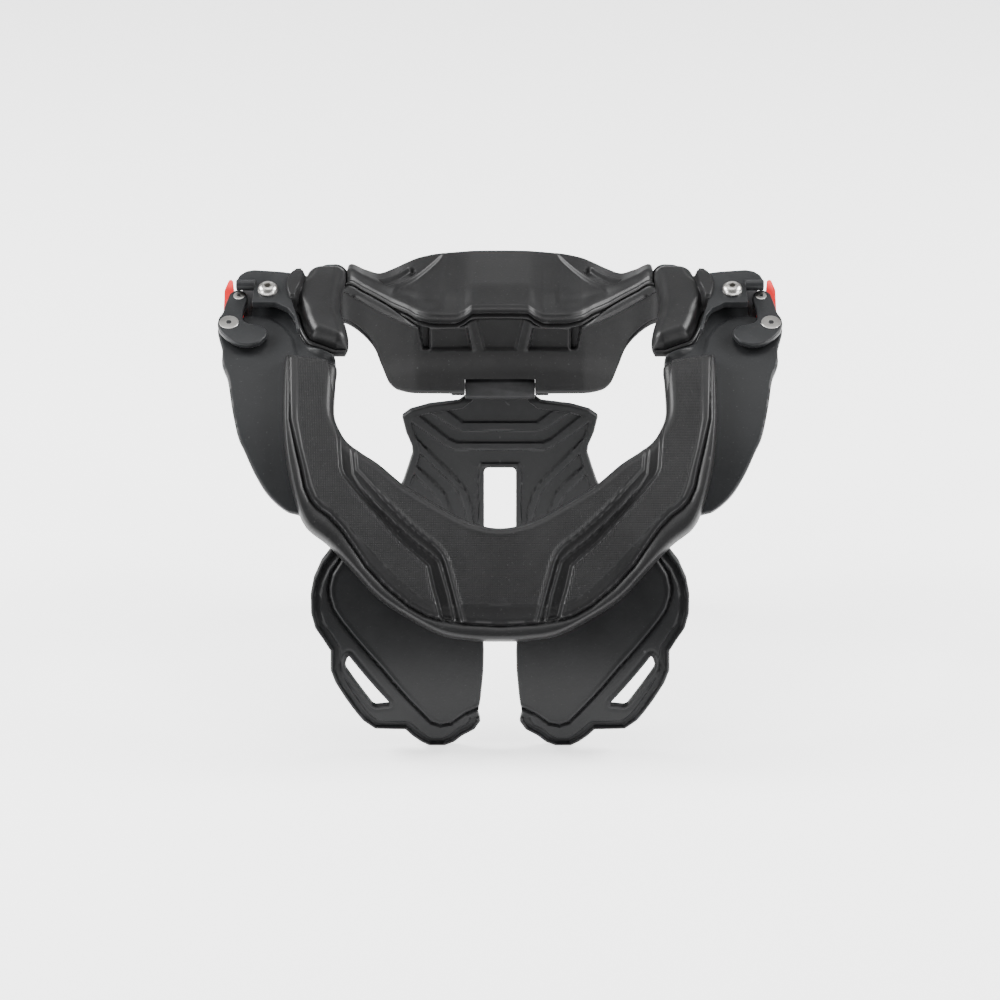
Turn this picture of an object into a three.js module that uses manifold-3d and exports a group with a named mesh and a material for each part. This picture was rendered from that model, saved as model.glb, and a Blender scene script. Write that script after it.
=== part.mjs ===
import * as THREE from 'three';
import Module from 'manifold-3d';

// Lengths are in millimetres, +Z up, the front of the brace faces -Y.

// Overall sizes
const halfWidth = 142;
const saddleRadius = 285;
const rearReach = 118;
const deckHeight = 194.6;
const floorLevel = 6.6;

// Wall thicknesses
const frameThickness = 3.5;
const padThickness = 9.5;
const plateThickness = 3.4;
const facePadThickness = 10;
const rearWall = 3.6;
const gap = 0.35;

// Chest plates, hung from the saddle at one angle
const chestAngle = 55.8;
const chestSetback = 6.9;
const chestOverlap = 14.6;
const chestSlope = 0.6733;
const chestBend = 0.007058;
const chestWrap = 24;

// Back plate and its hinge
const hingeSetback = 35.1;
const hingeHeight = 0.6732 * deckHeight;
const backDrop = hingeHeight - floorLevel;
const backLean = 0.04;
const backThickness = 3.6;
const hingeRadius = 7;
const hingeHalfWidth = 18.4;
const pinRadius = 1.6;
const pinHalfLength = 25.6;

// Clamps at both sides
const clampAngle = 22;
const clampDepth = 25.24;
const clampUnit = 20;
const leverBottom = 0.4;
const leverThickness = 3.2;
const housingTopLow = 4.3;
const housingTopHigh = 8;
const housingBaseHigh = -4.4;
const housingBaseLow = -8.4;
const domeRadius = 5.2;
const leverScrewRadius = 5.1;
const smallScrewRadius = 3;

const wasm = await Module();
wasm.setup();

const group = new THREE.Group();
group.name = 'motocross_neck_brace';

function material(hex, roughness, metalness) {
  return new THREE.MeshStandardMaterial({ color: hex, roughness, metalness });
}

function addPiece(name, geometry, surface) {
  const mesh = new THREE.Mesh(geometry, surface);
  mesh.name = name;
  group.add(mesh);
  return mesh;
}

// A closed solid between an upper and a lower grid of points.
function slab(upper, lower) {
  const rows = upper.length;
  const columns = upper[0].length;
  const positions = [];
  for (const grid of [upper, lower]) {
    for (const row of grid) {
      for (const point of row) {
        positions.push(point.x, point.y, point.z);
      }
    }
  }
  const low = rows * columns;
  const at = (base, i, j) => base + i * columns + j;
  const index = [];
  const quad = (a, b, c, d) => {
    index.push(a, b, c, a, c, d);
  };
  for (let i = 0; i < rows - 1; i += 1) {
    for (let j = 0; j < columns - 1; j += 1) {
      quad(at(0, i, j), at(0, i + 1, j), at(0, i + 1, j + 1), at(0, i, j + 1));
      quad(at(low, i, j), at(low, i, j + 1), at(low, i + 1, j + 1), at(low, i + 1, j));
    }
    const last = columns - 1;
    quad(at(0, i, 0), at(low, i, 0), at(low, i + 1, 0), at(0, i + 1, 0));
    quad(at(0, i, last), at(0, i + 1, last), at(low, i + 1, last), at(low, i, last));
  }
  for (let j = 0; j < columns - 1; j += 1) {
    const end = rows - 1;
    quad(at(0, 0, j), at(0, 0, j + 1), at(low, 0, j + 1), at(low, 0, j));
    quad(at(0, end, j), at(low, end, j), at(low, end, j + 1), at(0, end, j + 1));
  }
  const geometry = new THREE.BufferGeometry();
  geometry.setAttribute('position', new THREE.Float32BufferAttribute(positions, 3));
  geometry.setIndex(index);
  return faceOut(geometry);
}

// Turns the faces outward when the enclosed volume comes out negative.
function faceOut(geometry) {
  const p = geometry.attributes.position;
  const index = geometry.index.array;
  let volume = 0;
  const a = new THREE.Vector3();
  const b = new THREE.Vector3();
  const c = new THREE.Vector3();
  for (let k = 0; k < index.length; k += 3) {
    a.fromBufferAttribute(p, index[k]);
    b.fromBufferAttribute(p, index[k + 1]);
    c.fromBufferAttribute(p, index[k + 2]);
    volume += a.dot(b.cross(c));
  }
  if (volume < 0) {
    const turned = Array.from(index);
    for (let k = 0; k < turned.length; k += 3) {
      const kept = turned[k + 1];
      turned[k + 1] = turned[k + 2];
      turned[k + 2] = kept;
    }
    geometry.setIndex(turned);
  }
  geometry.computeVertexNormals();
  return geometry;
}

// Merges equal corners so that the faces share them.
function welded(geometry) {
  const p = geometry.attributes.position;
  const source = geometry.index ? Array.from(geometry.index.array) : null;
  const count = source ? source.length : p.count;
  const known = new Map();
  const points = [];
  const index = [];
  for (let k = 0; k < count; k += 1) {
    const i = source ? source[k] : k;
    const corner = [p.getX(i), p.getY(i), p.getZ(i)];
    const key = corner.map((value) => Math.round(value * 1e4)).join(',');
    if (!known.has(key)) {
      known.set(key, points.length / 3);
      points.push(corner[0], corner[1], corner[2]);
    }
    index.push(known.get(key));
  }
  const kept = [];
  for (let k = 0; k < index.length; k += 3) {
    const [a, b, c] = [index[k], index[k + 1], index[k + 2]];
    if (a !== b && b !== c && a !== c) {
      kept.push(a, b, c);
    }
  }
  const result = new THREE.BufferGeometry();
  result.setAttribute('position', new THREE.Float32BufferAttribute(points, 3));
  result.setIndex(kept);
  return faceOut(result);
}

function toSolid(geometry) {
  const clean = welded(geometry);
  const mesh = new wasm.Mesh({
    numProp: 3,
    vertProperties: new Float32Array(clean.attributes.position.array),
    triVerts: new Uint32Array(clean.index.array),
  });
  return new wasm.Manifold(mesh);
}

function toGeometry(solid) {
  const mesh = solid.getMesh();
  const result = new THREE.BufferGeometry();
  result.setAttribute('position', new THREE.Float32BufferAttribute(Array.from(mesh.vertProperties), 3));
  result.setIndex(Array.from(mesh.triVerts));
  result.computeVertexNormals();
  return result;
}

function joined(geometries) {
  let solid = toSolid(geometries[0]);
  for (const other of geometries.slice(1)) {
    solid = solid.add(toSolid(other));
  }
  return toGeometry(solid);
}

function cut(geometry, tools) {
  let solid = toSolid(geometry);
  for (const tool of tools) {
    solid = solid.subtract(toSolid(tool));
  }
  return toGeometry(solid);
}

function box(x0, x1, y0, y1, z0, z1) {
  const geometry = new THREE.BoxGeometry(x1 - x0, y1 - y0, z1 - z0);
  geometry.translate((x0 + x1) / 2, (y0 + y1) / 2, (z0 + z1) / 2);
  return geometry;
}

// A cylinder lying along X.
function rod(radius, x0, x1, y, z, sides) {
  const geometry = new THREE.CylinderGeometry(radius, radius, x1 - x0, sides);
  geometry.rotateZ(Math.PI / 2);
  geometry.translate((x0 + x1) / 2, y, z);
  return geometry;
}

// The saddle is a cylinder along X that passes through the clamps; an angle of 0 is its crest.
const clampTurn = THREE.MathUtils.degToRad(clampAngle);
const saddleAxisDepth = clampDepth + saddleRadius * Math.sin(clampTurn);
const saddleAxisHeight = deckHeight - gap - saddleRadius * Math.cos(clampTurn);
function onSaddle(x, degrees, height) {
  const angle = THREE.MathUtils.degToRad(degrees);
  const radius = saddleRadius + height;
  const y = saddleAxisDepth - radius * Math.sin(angle);
  const z = saddleAxisHeight + radius * Math.cos(angle);
  return new THREE.Vector3(x, y, z);
}

// A spline through the rows of a table of four columns.
function smoothTable(table, count) {
  const inner = new THREE.CatmullRomCurve3(table.map((r) => new THREE.Vector3(r[0], r[1] / 100, 0)));
  const outer = new THREE.CatmullRomCurve3(table.map((r) => new THREE.Vector3(r[2], r[3] / 100, 0)));
  const result = [];
  for (let i = 0; i < count; i += 1) {
    const a = inner.getPoint(i / (count - 1));
    const b = outer.getPoint(i / (count - 1));
    result.push([a.x, a.y * 100, b.x, b.y * 100]);
  }
  return result;
}

// The left half of a table followed by its mirror image.
function bothHalves(table) {
  const left = table.map((r) => [-r[0], r[1], -r[2], r[3]]);
  const right = table.slice(0, -1).reverse();
  return left.concat(right);
}

// A band on the saddle: rows run from the inner to the outer edge.
function saddleBand(rows, shares, upperHeight, lowerHeight) {
  const upper = [];
  const lower = [];
  rows.forEach((row, i) => {
    const high = [];
    const low = [];
    shares.forEach((share, j) => {
      const x = THREE.MathUtils.lerp(row[0], row[2], share) * halfWidth;
      const angle = THREE.MathUtils.lerp(row[1], row[3], share);
      high.push(onSaddle(x, angle, upperHeight(i, j)));
      low.push(onSaddle(x, angle, lowerHeight(i, j)));
    });
    upper.push(high);
    lower.push(low);
  });
  return slab(upper, lower);
}

// Front frame with its side wings and arms
// Columns: inner x, inner angle, outer x, outer angle
const frameTable = [
  [0.8239, 19.4, 0.8627, 19.4],
  [0.7993, 19.9, 0.8873, 19.9],
  [0.7803, 20.6, 0.9042, 20.6],
  [0.769, 21.8, 0.9085, 21.8],
  [0.7563, 23.2, 0.9127, 23.2],
  [0.7479, 23.8, 0.9746, 23.75],
  [0.7408, 24.3, 1.007, 24.3],
  [0.7303, 25.2, 1.0211, 25.2],
  [0.7155, 26.4, 1.0141, 26.4],
  [0.6944, 27.4, 1.0014, 27.9],
  [0.6549, 28.2, 0.9993, 28.9],
  [0.6169, 28.8, 0.9986, 29.9],
  [0.5915, 29.6, 0.9901, 30.8],
  [0.593, 31, 0.9739, 32.2],
  [0.6085, 33.8, 0.9549, 35.6],
  [0.6092, 37, 0.9303, 38.9],
  [0.5845, 39.4, 0.9028, 40.8],
  [0.5423, 41.4, 0.8648, 43.3],
  [0.5, 42.8, 0.8169, 45.6],
  [0.4472, 44.4, 0.7535, 47.3],
  [0.4014, 45.5, 0.6901, 48.0],
  [0.3592, 46.5, 0.6268, 49.8],
  [0.2958, 47.8, 0.5352, 52.1],
  [0.2324, 49, 0.4401, 54.8],
  [0.1408, 50.2, 0.3239, 57.4],
  [0.0704, 50.9, 0.169, 59.2],
  [0, 51.1, 0, 59.6],
];
const frameShares = [0, 0.25, 0.5, 0.75, 1];
const frameRows = bothHalves(frameTable);
const frontFrame = saddleBand(frameRows, frameShares, () => 0, () => -frameThickness);
addPiece('front_frame', frontFrame, material(0x2b2c2e, 0.55, 0));

// Front collar pad
const padTable = [
  [0.5951, 30.55, 0.7676, 29.75],
  [0.5838, 31.3, 0.7718, 30.4],
  [0.5873, 33.3, 0.7718, 33],
  [0.588, 36.9, 0.7697, 37.5],
  [0.5648, 38.9, 0.7542, 42.3],
  [0.5359, 40.2, 0.7197, 46.6],
  [0.4894, 41.4, 0.6796, 49.3],
  [0.4254, 42.7, 0.5979, 51.3],
  [0.3437, 44.8, 0.507, 54.1],
  [0.2887, 45.9, 0.4366, 56.3],
  [0.238, 46.8, 0.3549, 58],
  [0.1296, 48.6, 0.2113, 60.2],
  [0.0556, 49.3, 0.0986, 60.8],
  [0, 49.5, 0, 60.9],
];
const padShares = [0, 0.03, 0.09, 0.18, 0.32, 0.46, 0.6, 0.74, 0.84, 0.92, 0.975, 1];
const padSection = [0.15, 0.5, 0.74, 0.86, 0.86, 0.84, 0.84, 0.86, 1, 0.92, 0.55, 0.15];
const padRows = bothHalves(smoothTable(padTable, 24));
const padEnds = [0.2, 0.6, 0.88];
function padFade(i) {
  const fromEnd = Math.min(i, padRows.length - 1 - i);
  return fromEnd < padEnds.length ? padEnds[fromEnd] : 1;
}
const frontPad = saddleBand(
  padRows,
  padShares,
  (i, j) => gap + padThickness * padSection[j] * padFade(i),
  () => gap,
);
addPiece('front_pad', frontPad, material(0x2a2a2b, 0.8, 0));

// Chest plates
const chestRoot = onSaddle(0, chestAngle, 0);
const chestDrop = chestRoot.z + chestOverlap - floorLevel;
function chestDepth(x, z) {
  const level = z - chestRoot.z;
  const wrap = Math.max(0, Math.abs(x) / halfWidth - 0.35);
  const curve = chestBend * level * level + chestWrap * wrap * wrap;
  return chestRoot.y + chestSetback + chestSlope * level + curve;
}

// Columns: share of the drop, outer x, inner x
const chestTable = [
  [0, 0.25, 0.1972],
  [0.0265, 0.2782, 0.162],
  [0.0703, 0.3099, 0.1338],
  [0.1141, 0.3345, 0.0901],
  [0.1171, 0.4408, 0.0887],
  [0.169, 0.4824, 0.069],
  [0.2179, 0.5056, 0.0768],
  [0.3014, 0.5415, 0.0676],
  [0.39, 0.5768, 0.062],
  [0.4562, 0.5937, 0.0577],
  [0.554, 0.593, 0.0563],
  [0.6049, 0.6169, 0.0577],
  [0.6609, 0.6465, 0.0592],
  [0.7291, 0.6613, 0.0634],
  [0.8126, 0.6634, 0.0845],
  [0.8778, 0.6535, 0.169],
  [0.9501, 0.6275, 0.3239],
  [1, 0.5958, 0.4648],
];
const chestShares = [0, 0.14, 0.32, 0.5, 0.68, 0.86, 1];
const strapSlot = [
  [0.5303, 0.5234],
  [0.5415, 0.4725],
  [0.4423, 0.2587],
  [0.3845, 0.2688],
];

function chestPlate(side) {
  const upper = [];
  const lower = [];
  for (const [rise, outerX, innerX] of chestTable) {
    const z = floorLevel + rise * chestDrop;
    const high = [];
    const low = [];
    for (const share of chestShares) {
      const x = side * THREE.MathUtils.lerp(innerX, outerX, share) * halfWidth;
      const y = chestDepth(x, z);
      high.push(new THREE.Vector3(x, y - plateThickness / 2, z));
      low.push(new THREE.Vector3(x, y + plateThickness / 2, z));
    }
    upper.push(high);
    lower.push(low);
  }
  const outline = new THREE.Shape(
    strapSlot.map(([x, rise]) => new THREE.Vector2(side * x * halfWidth, floorLevel + rise * chestDrop)),
  );
  const tool = new THREE.ExtrudeGeometry(outline, { depth: 8 * chestSetback, bevelEnabled: false });
  tool.rotateX(Math.PI / 2);
  tool.translate(0, chestRoot.y + 3 * chestSetback, 0);
  return cut(slab(upper, lower), [tool]);
}
const chestSurface = material(0x2c2d2f, 0.6, 0);
addPiece('chest_plate_left', chestPlate(-1), chestSurface);
addPiece('chest_plate_right', chestPlate(1), chestSurface.clone());

// Rear collar stations, in depth from the shoulders to the rear edge
// Columns: x, front depth, front z, rear depth, rear z
const shoulderDepth = onSaddle(0, 18, 0).y;
const collarLength = rearReach - shoulderDepth;
const hingeDepth = shoulderDepth + (hingeSetback / 74.1) * collarLength;
function collarDepth(share) {
  return shoulderDepth + share * collarLength;
}
function depthShare(y) {
  return (y - shoulderDepth) / collarLength;
}
const collarTable = [
  [0, 0.298, 0.9229, 1, 1],
  [0.0986, 0.298, 0.9219, 0.9946, 1],
  [0.1338, 0.2926, 0.9054, 0.9865, 1],
  [0.169, 0.2845, 0.8952, 0.973, 1],
  [0.2394, 0.271, 0.8972, 0.9257, 1.001],
  [0.3028, 0.2494, 0.9096, 0.8515, 1],
  [0.3521, 0.217, 0.9373, 0.7705, 0.9938],
  [0.3944, 0.1846, 0.9661, 0.6895, 0.9866],
  [0.4437, 0.1441, 0.9949, 0.595, 0.9815],
  [0.5, 0.0955, 1.0247, 0.5005, 1.0021],
  [0.5592, 0.0522, 1.0514, 0.3857, 1.0329],
];
const collarRows = collarTable
  .slice(1)
  .reverse()
  .map((r) => [-r[0], r[1], r[2], r[3], r[4]])
  .concat(collarTable);
const lipDrop = 6;

function collarPoint(row, share, lift) {
  const y = collarDepth(THREE.MathUtils.lerp(row[1], row[3], share));
  const z = THREE.MathUtils.lerp(row[2], row[4], share) * deckHeight;
  return new THREE.Vector3(row[0] * halfWidth, y, z + lift);
}

// Rear top pad
const topShares = [0, 0.05, 0.16, 0.34, 0.54, 0.74, 0.9, 0.97, 1];
const topSection = [-3.4, -1, 0, 1, 1.4, 1.2, 0.4, -1.6, -5];
const topPad = slab(
  collarRows.map((row) => topShares.map((share, j) => collarPoint(row, share, topSection[j]))),
  collarRows.map((row) => topShares.map((share) => collarPoint(row, share, -lipDrop - 2.6 * share))),
);
addPiece('rear_top_pad', topPad, material(0x2a2a2b, 0.75, 0));

// Rear face pad, the foam that the neck side shows
// Columns: x, lowest z
const faceTable = [
  [0.5944, 0.9301],
  [0.5563, 0.9044],
  [0.507, 0.8684],
  [0.4648, 0.8222],
  [0.4408, 0.7708],
  [0.412, 0.7143],
  [0.3803, 0.6917],
  [0.3099, 0.6752],
  [0.2113, 0.6701],
  [0.1352, 0.668],
  [0, 0.668],
];
// The face and the frame run on below the shoulder pads
const sideTable = [
  ...collarTable,
  [0.5627, 0.0468, 1.0432, 0.3817, 1.0277],
  [0.5944, 0.009, 1.0349, 0.352, 1.0175],
];

function faceBottomAt(x) {
  for (let i = 0; i < faceTable.length - 1; i += 1) {
    const a = faceTable[i];
    const b = faceTable[i + 1];
    if (x >= b[0]) {
      return THREE.MathUtils.lerp(b[1], a[1], (x - b[0]) / (a[0] - b[0]));
    }
  }
  return faceTable[faceTable.length - 1][1];
}
const faceEnd = faceTable[0][0];
const stationSet = new Set([...faceTable, ...sideTable].map((r) => r[0]).filter((x) => x <= faceEnd));
const faceHalf = [...stationSet].sort((a, b) => b - a).map((x) => [x, faceBottomAt(x)]);
const faceStations = faceHalf.map((r) => [-r[0], r[1]]).concat(faceHalf.slice(0, -1).reverse());

// Front y and front z of the collar at a given x share
function collarAt(x) {
  const wanted = Math.abs(x);
  for (let i = 0; i < sideTable.length - 1; i += 1) {
    const a = sideTable[i];
    const b = sideTable[i + 1];
    if (wanted <= b[0]) {
      const t = (wanted - a[0]) / (b[0] - a[0]);
      return a.map((value, k) => THREE.MathUtils.lerp(value, b[k], t));
    }
  }
  return sideTable[sideTable.length - 1];
}

const faceShares = [0, 0.06, 0.3, 0.55, 0.8, 1];
const faceInset = [3, 0.8, 0.4, 1.4, 1.4, 1.4];
function faceColumn(station, back) {
  const collar = collarAt(station[0]);
  const row = [station[0], collar[1], collar[2], collar[3], collar[4]];
  const bottom = station[1] * deckHeight;
  return faceShares.map((share, j) => {
    const y = collarDepth(collar[1]) + (back ? facePadThickness : faceInset[j]);
    const under = (depthShare(y) - collar[1]) / (collar[3] - collar[1]);
    const top = collarPoint(row, under, -lipDrop - 2.6 * under - gap).z;
    return new THREE.Vector3(station[0] * halfWidth, y, THREE.MathUtils.lerp(bottom, top, share));
  });
}
const notchReach = 3 * facePadThickness;
const hingeNotch = box(
  -hingeHalfWidth - 2 * gap,
  hingeHalfWidth + 2 * gap,
  hingeDepth - notchReach,
  hingeDepth + notchReach,
  hingeHeight - 3 * hingeRadius,
  hingeHeight + hingeRadius + 1,
);
const facePad = cut(
  slab(
    faceStations.map((station) => faceColumn(station, false)),
    faceStations.map((station) => faceColumn(station, true)),
  ),
  [hingeNotch],
);
addPiece('rear_face_pad', facePad, material(0x29292a, 0.8, 0));

// Rear frame: the wall behind the face pad and the deck below the top pad
function frameColumn(station, back) {
  const collar = collarAt(station[0]);
  const wall = collarDepth(collar[1]) + facePadThickness + gap;
  const bottom = station[1] * deckHeight + 0.4;
  const row = [station[0], collar[1], collar[2], collar[3], collar[4]];
  const share = (y) => (depthShare(y) - collar[1]) / (collar[3] - collar[1]);
  const deck = (y, lift) => collarPoint(row, share(y), -lipDrop - 2.6 * share(y) - 2 * gap + lift);
  const rear = collarDepth(collar[3]) - rearWall - gap;
  const x = station[0] * halfWidth;
  if (!back) {
    const corner = deck(wall, 0);
    return [
      new THREE.Vector3(x, wall, bottom),
      new THREE.Vector3(x, wall, THREE.MathUtils.lerp(bottom, corner.z, 0.5)),
      corner,
      deck(THREE.MathUtils.lerp(wall, rear, 0.5), 0),
      deck(rear, 0),
    ];
  }
  const inside = deck(wall + rearWall, -rearWall);
  return [
    new THREE.Vector3(x, wall + rearWall, bottom),
    new THREE.Vector3(x, wall + rearWall, THREE.MathUtils.lerp(bottom, inside.z, 0.5)),
    inside,
    deck(THREE.MathUtils.lerp(wall + rearWall, rear, 0.5), -rearWall),
    deck(rear, -rearWall),
  ];
}
const collarShell = slab(
  faceStations.map((station) => frameColumn(station, false)),
  faceStations.map((station) => frameColumn(station, true)),
);

// Arms below the shoulder pads
// Columns: inner x, inner angle, outer x, outer angle
const armTable = [
  [0.5648, 13.2, 0.6972, 13.2],
  [0.5676, 14.6, 0.7063, 14.7],
  [0.5979, 15.5, 0.7127, 15.6],
  [0.6028, 18.2, 0.7387, 18.5],
  [0.6056, 20.2, 0.7472, 20.2],
  [0.6085, 21.2, 0.7627, 21.2],
  [0.6127, 22.3, 0.7669, 22.3],
  [0.6127, 24, 0.7113, 24],
  [0.6056, 26.6, 0.6831, 26.6],
];
const armUpper = [-12.2, -11.8, -11.4, -6.4, -5.6, -5.4, -5.4, -5.4, -5.4];
const armLower = [-23, -21.8, -20.6, -12, -10, -9.4, -9.4, -9.4, -9.4];
function armBand(side) {
  const rows = armTable.map((r) => [side * r[0], r[1], side * r[2], r[3]]);
  return saddleBand(rows, [0, 0.5, 1], (i) => armUpper[i], (i) => armLower[i]);
}
const earWidth = pinHalfLength - hingeHalfWidth - gap;
const wallShift = collarDepth(collarTable[0][1]) + facePadThickness + gap - hingeDepth;
const ears = [-1, 1].map((side) => {
  const near = hingeHalfWidth + 2 * gap;
  const x0 = side > 0 ? near : -near - earWidth;
  return box(
    x0,
    x0 + earWidth,
    hingeDepth + wallShift,
    hingeDepth + pinRadius + rearWall,
    hingeHeight - pinRadius - 2.8,
    hingeHeight + hingeRadius + 2,
  );
});
const pinBore = rod(pinRadius + gap, -halfWidth, halfWidth, hingeDepth, hingeHeight, 24);
const rearFrame = cut(joined([collarShell, armBand(-1), armBand(1), ...ears]), [hingeNotch, pinBore]);
addPiece('rear_frame', rearFrame, material(0x242527, 0.5, 0));

// Shoulder pads over the arms
const shoulderTable = [
  [0.5718, 13.6, 0.6972, 13.8],
  [0.5676, 15.4, 0.7183, 15.5],
  [0.5725, 17, 0.7239, 17.2],
  [0.5831, 18.7, 0.731, 18.9],
  [0.5915, 20.5, 0.7465, 20.9],
  [0.593, 22.1, 0.7563, 22.3],
  [0.5796, 23.6, 0.7408, 23.6],
  [0.5592, 24.8, 0.7254, 24.9],
  [0.5493, 26.1, 0.707, 26.4],
  [0.5465, 27, 0.6859, 27.1],
  [0.5486, 27.8, 0.6408, 27.6],
  [0.5585, 28.6, 0.5944, 28.3],
];
const shoulderShares = [0, 0.06, 0.2, 0.4, 0.6, 0.8, 0.94, 1];
const shoulderSection = [-1, 2.2, 4.6, 6, 6, 4.6, 2, -1];
const shoulderFade = [0.35, 0.8, 1];
// The rear end curves down: start angle, span, and how far the top and the base go down
const shoulderDrop = [16.9, 1.9, 6.6, 5];
function shoulderPad(side) {
  const rows = smoothTable(shoulderTable, 18).map((r) => [side * r[0], r[1], side * r[2], r[3]]);
  const drop = (i) => THREE.MathUtils.clamp((shoulderDrop[0] - rows[i][1]) / shoulderDrop[1], 0, 1);
  const height = (i, j) => {
    const fromEnd = Math.min(i, rows.length - 1 - i);
    const fade = fromEnd < shoulderFade.length ? shoulderFade[fromEnd] : 1;
    return -3 + (shoulderSection[j] + 3) * fade - shoulderDrop[2] * drop(i);
  };
  return saddleBand(rows, shoulderShares, height, (i) => -4.9 - shoulderDrop[3] * drop(i));
}
const shoulderSurface = material(0x2b2b2c, 0.75, 0);
addPiece('shoulder_pad_left', shoulderPad(-1), shoulderSurface);
addPiece('shoulder_pad_right', shoulderPad(1), shoulderSurface.clone());

// Places a flat outline in the plane of a clamp
function clampFrame(geometry) {
  geometry.rotateX(clampTurn);
  geometry.translate(0, clampDepth, deckHeight - gap);
  return geometry;
}

// Columns: x, distance towards the rear in clamp units
function clampShape(side, table) {
  const points = table.map(([x, v]) => new THREE.Vector2(side * x * halfWidth, v * clampUnit));
  return new THREE.Shape(points);
}

function clampPlate(shape, low, high) {
  const plan = { depth: high - low, bevelEnabled: false, curveSegments: 6 };
  const geometry = new THREE.ExtrudeGeometry(shape, plan);
  geometry.translate(0, 0, low);
  return clampFrame(geometry);
}

function clampDisc(side, centre, radius, low, high, sides) {
  const geometry = new THREE.CylinderGeometry(radius, radius, high - low, sides);
  geometry.rotateX(Math.PI / 2);
  geometry.translate(side * centre[0] * halfWidth, centre[1] * clampUnit, (low + high) / 2);
  return clampFrame(geometry);
}

// Clamp outlines
const domeCentre = [0.8437, 0.205];
const leverCentre = [0.9796, -0.79];
const smallCentre = [0.95, 0.25];
const housingOutline = [
  [0.9535, 0.42],
  [0.9592, 0.6],
  [0.9493, 0.81],
  [0.9268, 0.96],
  [0.8993, 1.015],
  [0.8028, 0.95],
  [0.731, 0.85],
  [0.7394, 0.45],
  [0.7507, 0.2],
  [0.7577, -0.075],
  [0.7479, -0.4],
  [0.7366, -0.7],
  [0.7239, -1.1],
  [0.7169, -1.3],
  [0.7303, -1.3],
  [0.7423, -0.8],
  [0.7662, -0.49],
  [0.8148, -0.26],
  [0.8986, -0.26],
  [0.8958, 0.125],
  [0.893, 0.39],
];
const housingBase = [
  [0.9042, -0.05],
  [0.931, -0.02],
  [0.931, 0.42],
  [0.9056, 0.6],
  [0.9056, 0.99],
  [0.8028, 0.95],
  [0.7437, 0.85],
  [0.7507, 0.45],
  [0.7669, 0.2],
  [0.7704, -0.075],
  [0.7887, -0.24],
  [0.8979, -0.24],
];
const housingBack = [
  [0.8761, 0.84],
  [0.8831, 0.995],
  [0.8028, 0.95],
  [0.7437, 0.85],
  [0.7465, 0.67],
  [0.7746, 0.75],
];
const leverOutline = [
  [0.9986, -0.12],
  [0.9901, 0.15],
  [0.9845, 0.36],
  [0.9648, 0.48],
  [0.9408, 0.48],
  [0.9225, 0.35],
  [0.9169, 0.1],
  [0.931, -0.4],
  [0.9324, -0.65],
  [0.9183, -0.8],
  [0.8549, -0.93],
  [0.838, -1.125],
  [0.8423, -1.325],
  [0.8634, -1.54],
  [0.8972, -1.64],
  [0.9296, -1.63],
  [0.9606, -1.52],
  [0.9887, -1.33],
  [1.0113, -1.1],
  [1.0211, -0.85],
  [1.0183, -0.6],
  [1.0042, -0.4],
];
const linkOutline = [
  [1.0042, -0.25],
  [1.0056, 0.3],
  [1.007, 0.675],
  [0.993, 1.09],
  [0.9789, 1.07],
  [0.9732, 0.75],
  [0.9676, 0.45],
  [0.9338, 0.25],
  [0.9324, -0.25],
];

const housingSurface = material(0x303133, 0.45, 0);
const leverSurface = material(0x2e2f31, 0.5, 0);
const steel = material(0xc9c9cc, 0.28, 1);
const red = material(0xd2202e, 0.45, 0);
const leverTop = leverBottom + leverThickness;
const domeTop = housingTopHigh + 0.2;

for (const [side, word] of [[-1, 'left'], [1, 'right']]) {
  const housing = joined([
    clampPlate(clampShape(side, housingOutline), housingTopLow, housingTopHigh),
    clampPlate(clampShape(side, housingBase), housingBaseLow, housingBaseHigh),
    clampPlate(clampShape(side, housingBack), housingBaseLow + 1, housingTopHigh - 1),
  ]);
  addPiece('clamp_housing_' + word, housing, housingSurface.clone());

  const dome = clampFrame(new THREE.LatheGeometry(
    [[0, 0], [1, 0], [1, 0.3], [0.86, 0.58], [0.5, 0.78], [0, 0.82]].map(
      ([r, h]) => new THREE.Vector2(r * domeRadius, h * domeRadius * 0.62),
    ),
    20,
  ).rotateX(Math.PI / 2).translate(side * domeCentre[0] * halfWidth, domeCentre[1] * clampUnit, domeTop));
  addPiece('pivot_screw_' + word, welded(dome), steel.clone());

  const leverHoles = [
    clampDisc(side, leverCentre, leverScrewRadius + 0.3, leverBottom + 1, leverTop + 3, 24),
    clampDisc(side, smallCentre, smallScrewRadius + 0.3, leverBottom + 1, leverTop + 3, 20),
  ];
  const lever = cut(clampPlate(clampShape(side, leverOutline), leverBottom, leverTop), leverHoles);
  addPiece('latch_lever_' + word, lever, leverSurface.clone());
  const bigScrew = clampDisc(side, leverCentre, leverScrewRadius, leverBottom + 1.3, leverTop + 0.1, 24);
  addPiece('lever_screw_' + word, welded(bigScrew), steel.clone());
  const smallScrew = clampDisc(side, smallCentre, smallScrewRadius, leverBottom + 1.3, leverTop + 0.1, 20);
  addPiece('link_screw_' + word, welded(smallScrew), steel.clone());
  const link = clampPlate(clampShape(side, linkOutline), -3.2, leverBottom - 0.3);
  addPiece('release_link_' + word, welded(link), red.clone());
}

// Hinge pin
const hingePin = rod(pinRadius, -pinHalfLength, pinHalfLength, hingeDepth, hingeHeight, 16);
addPiece('hinge_pin', welded(hingePin), steel.clone());

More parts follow.
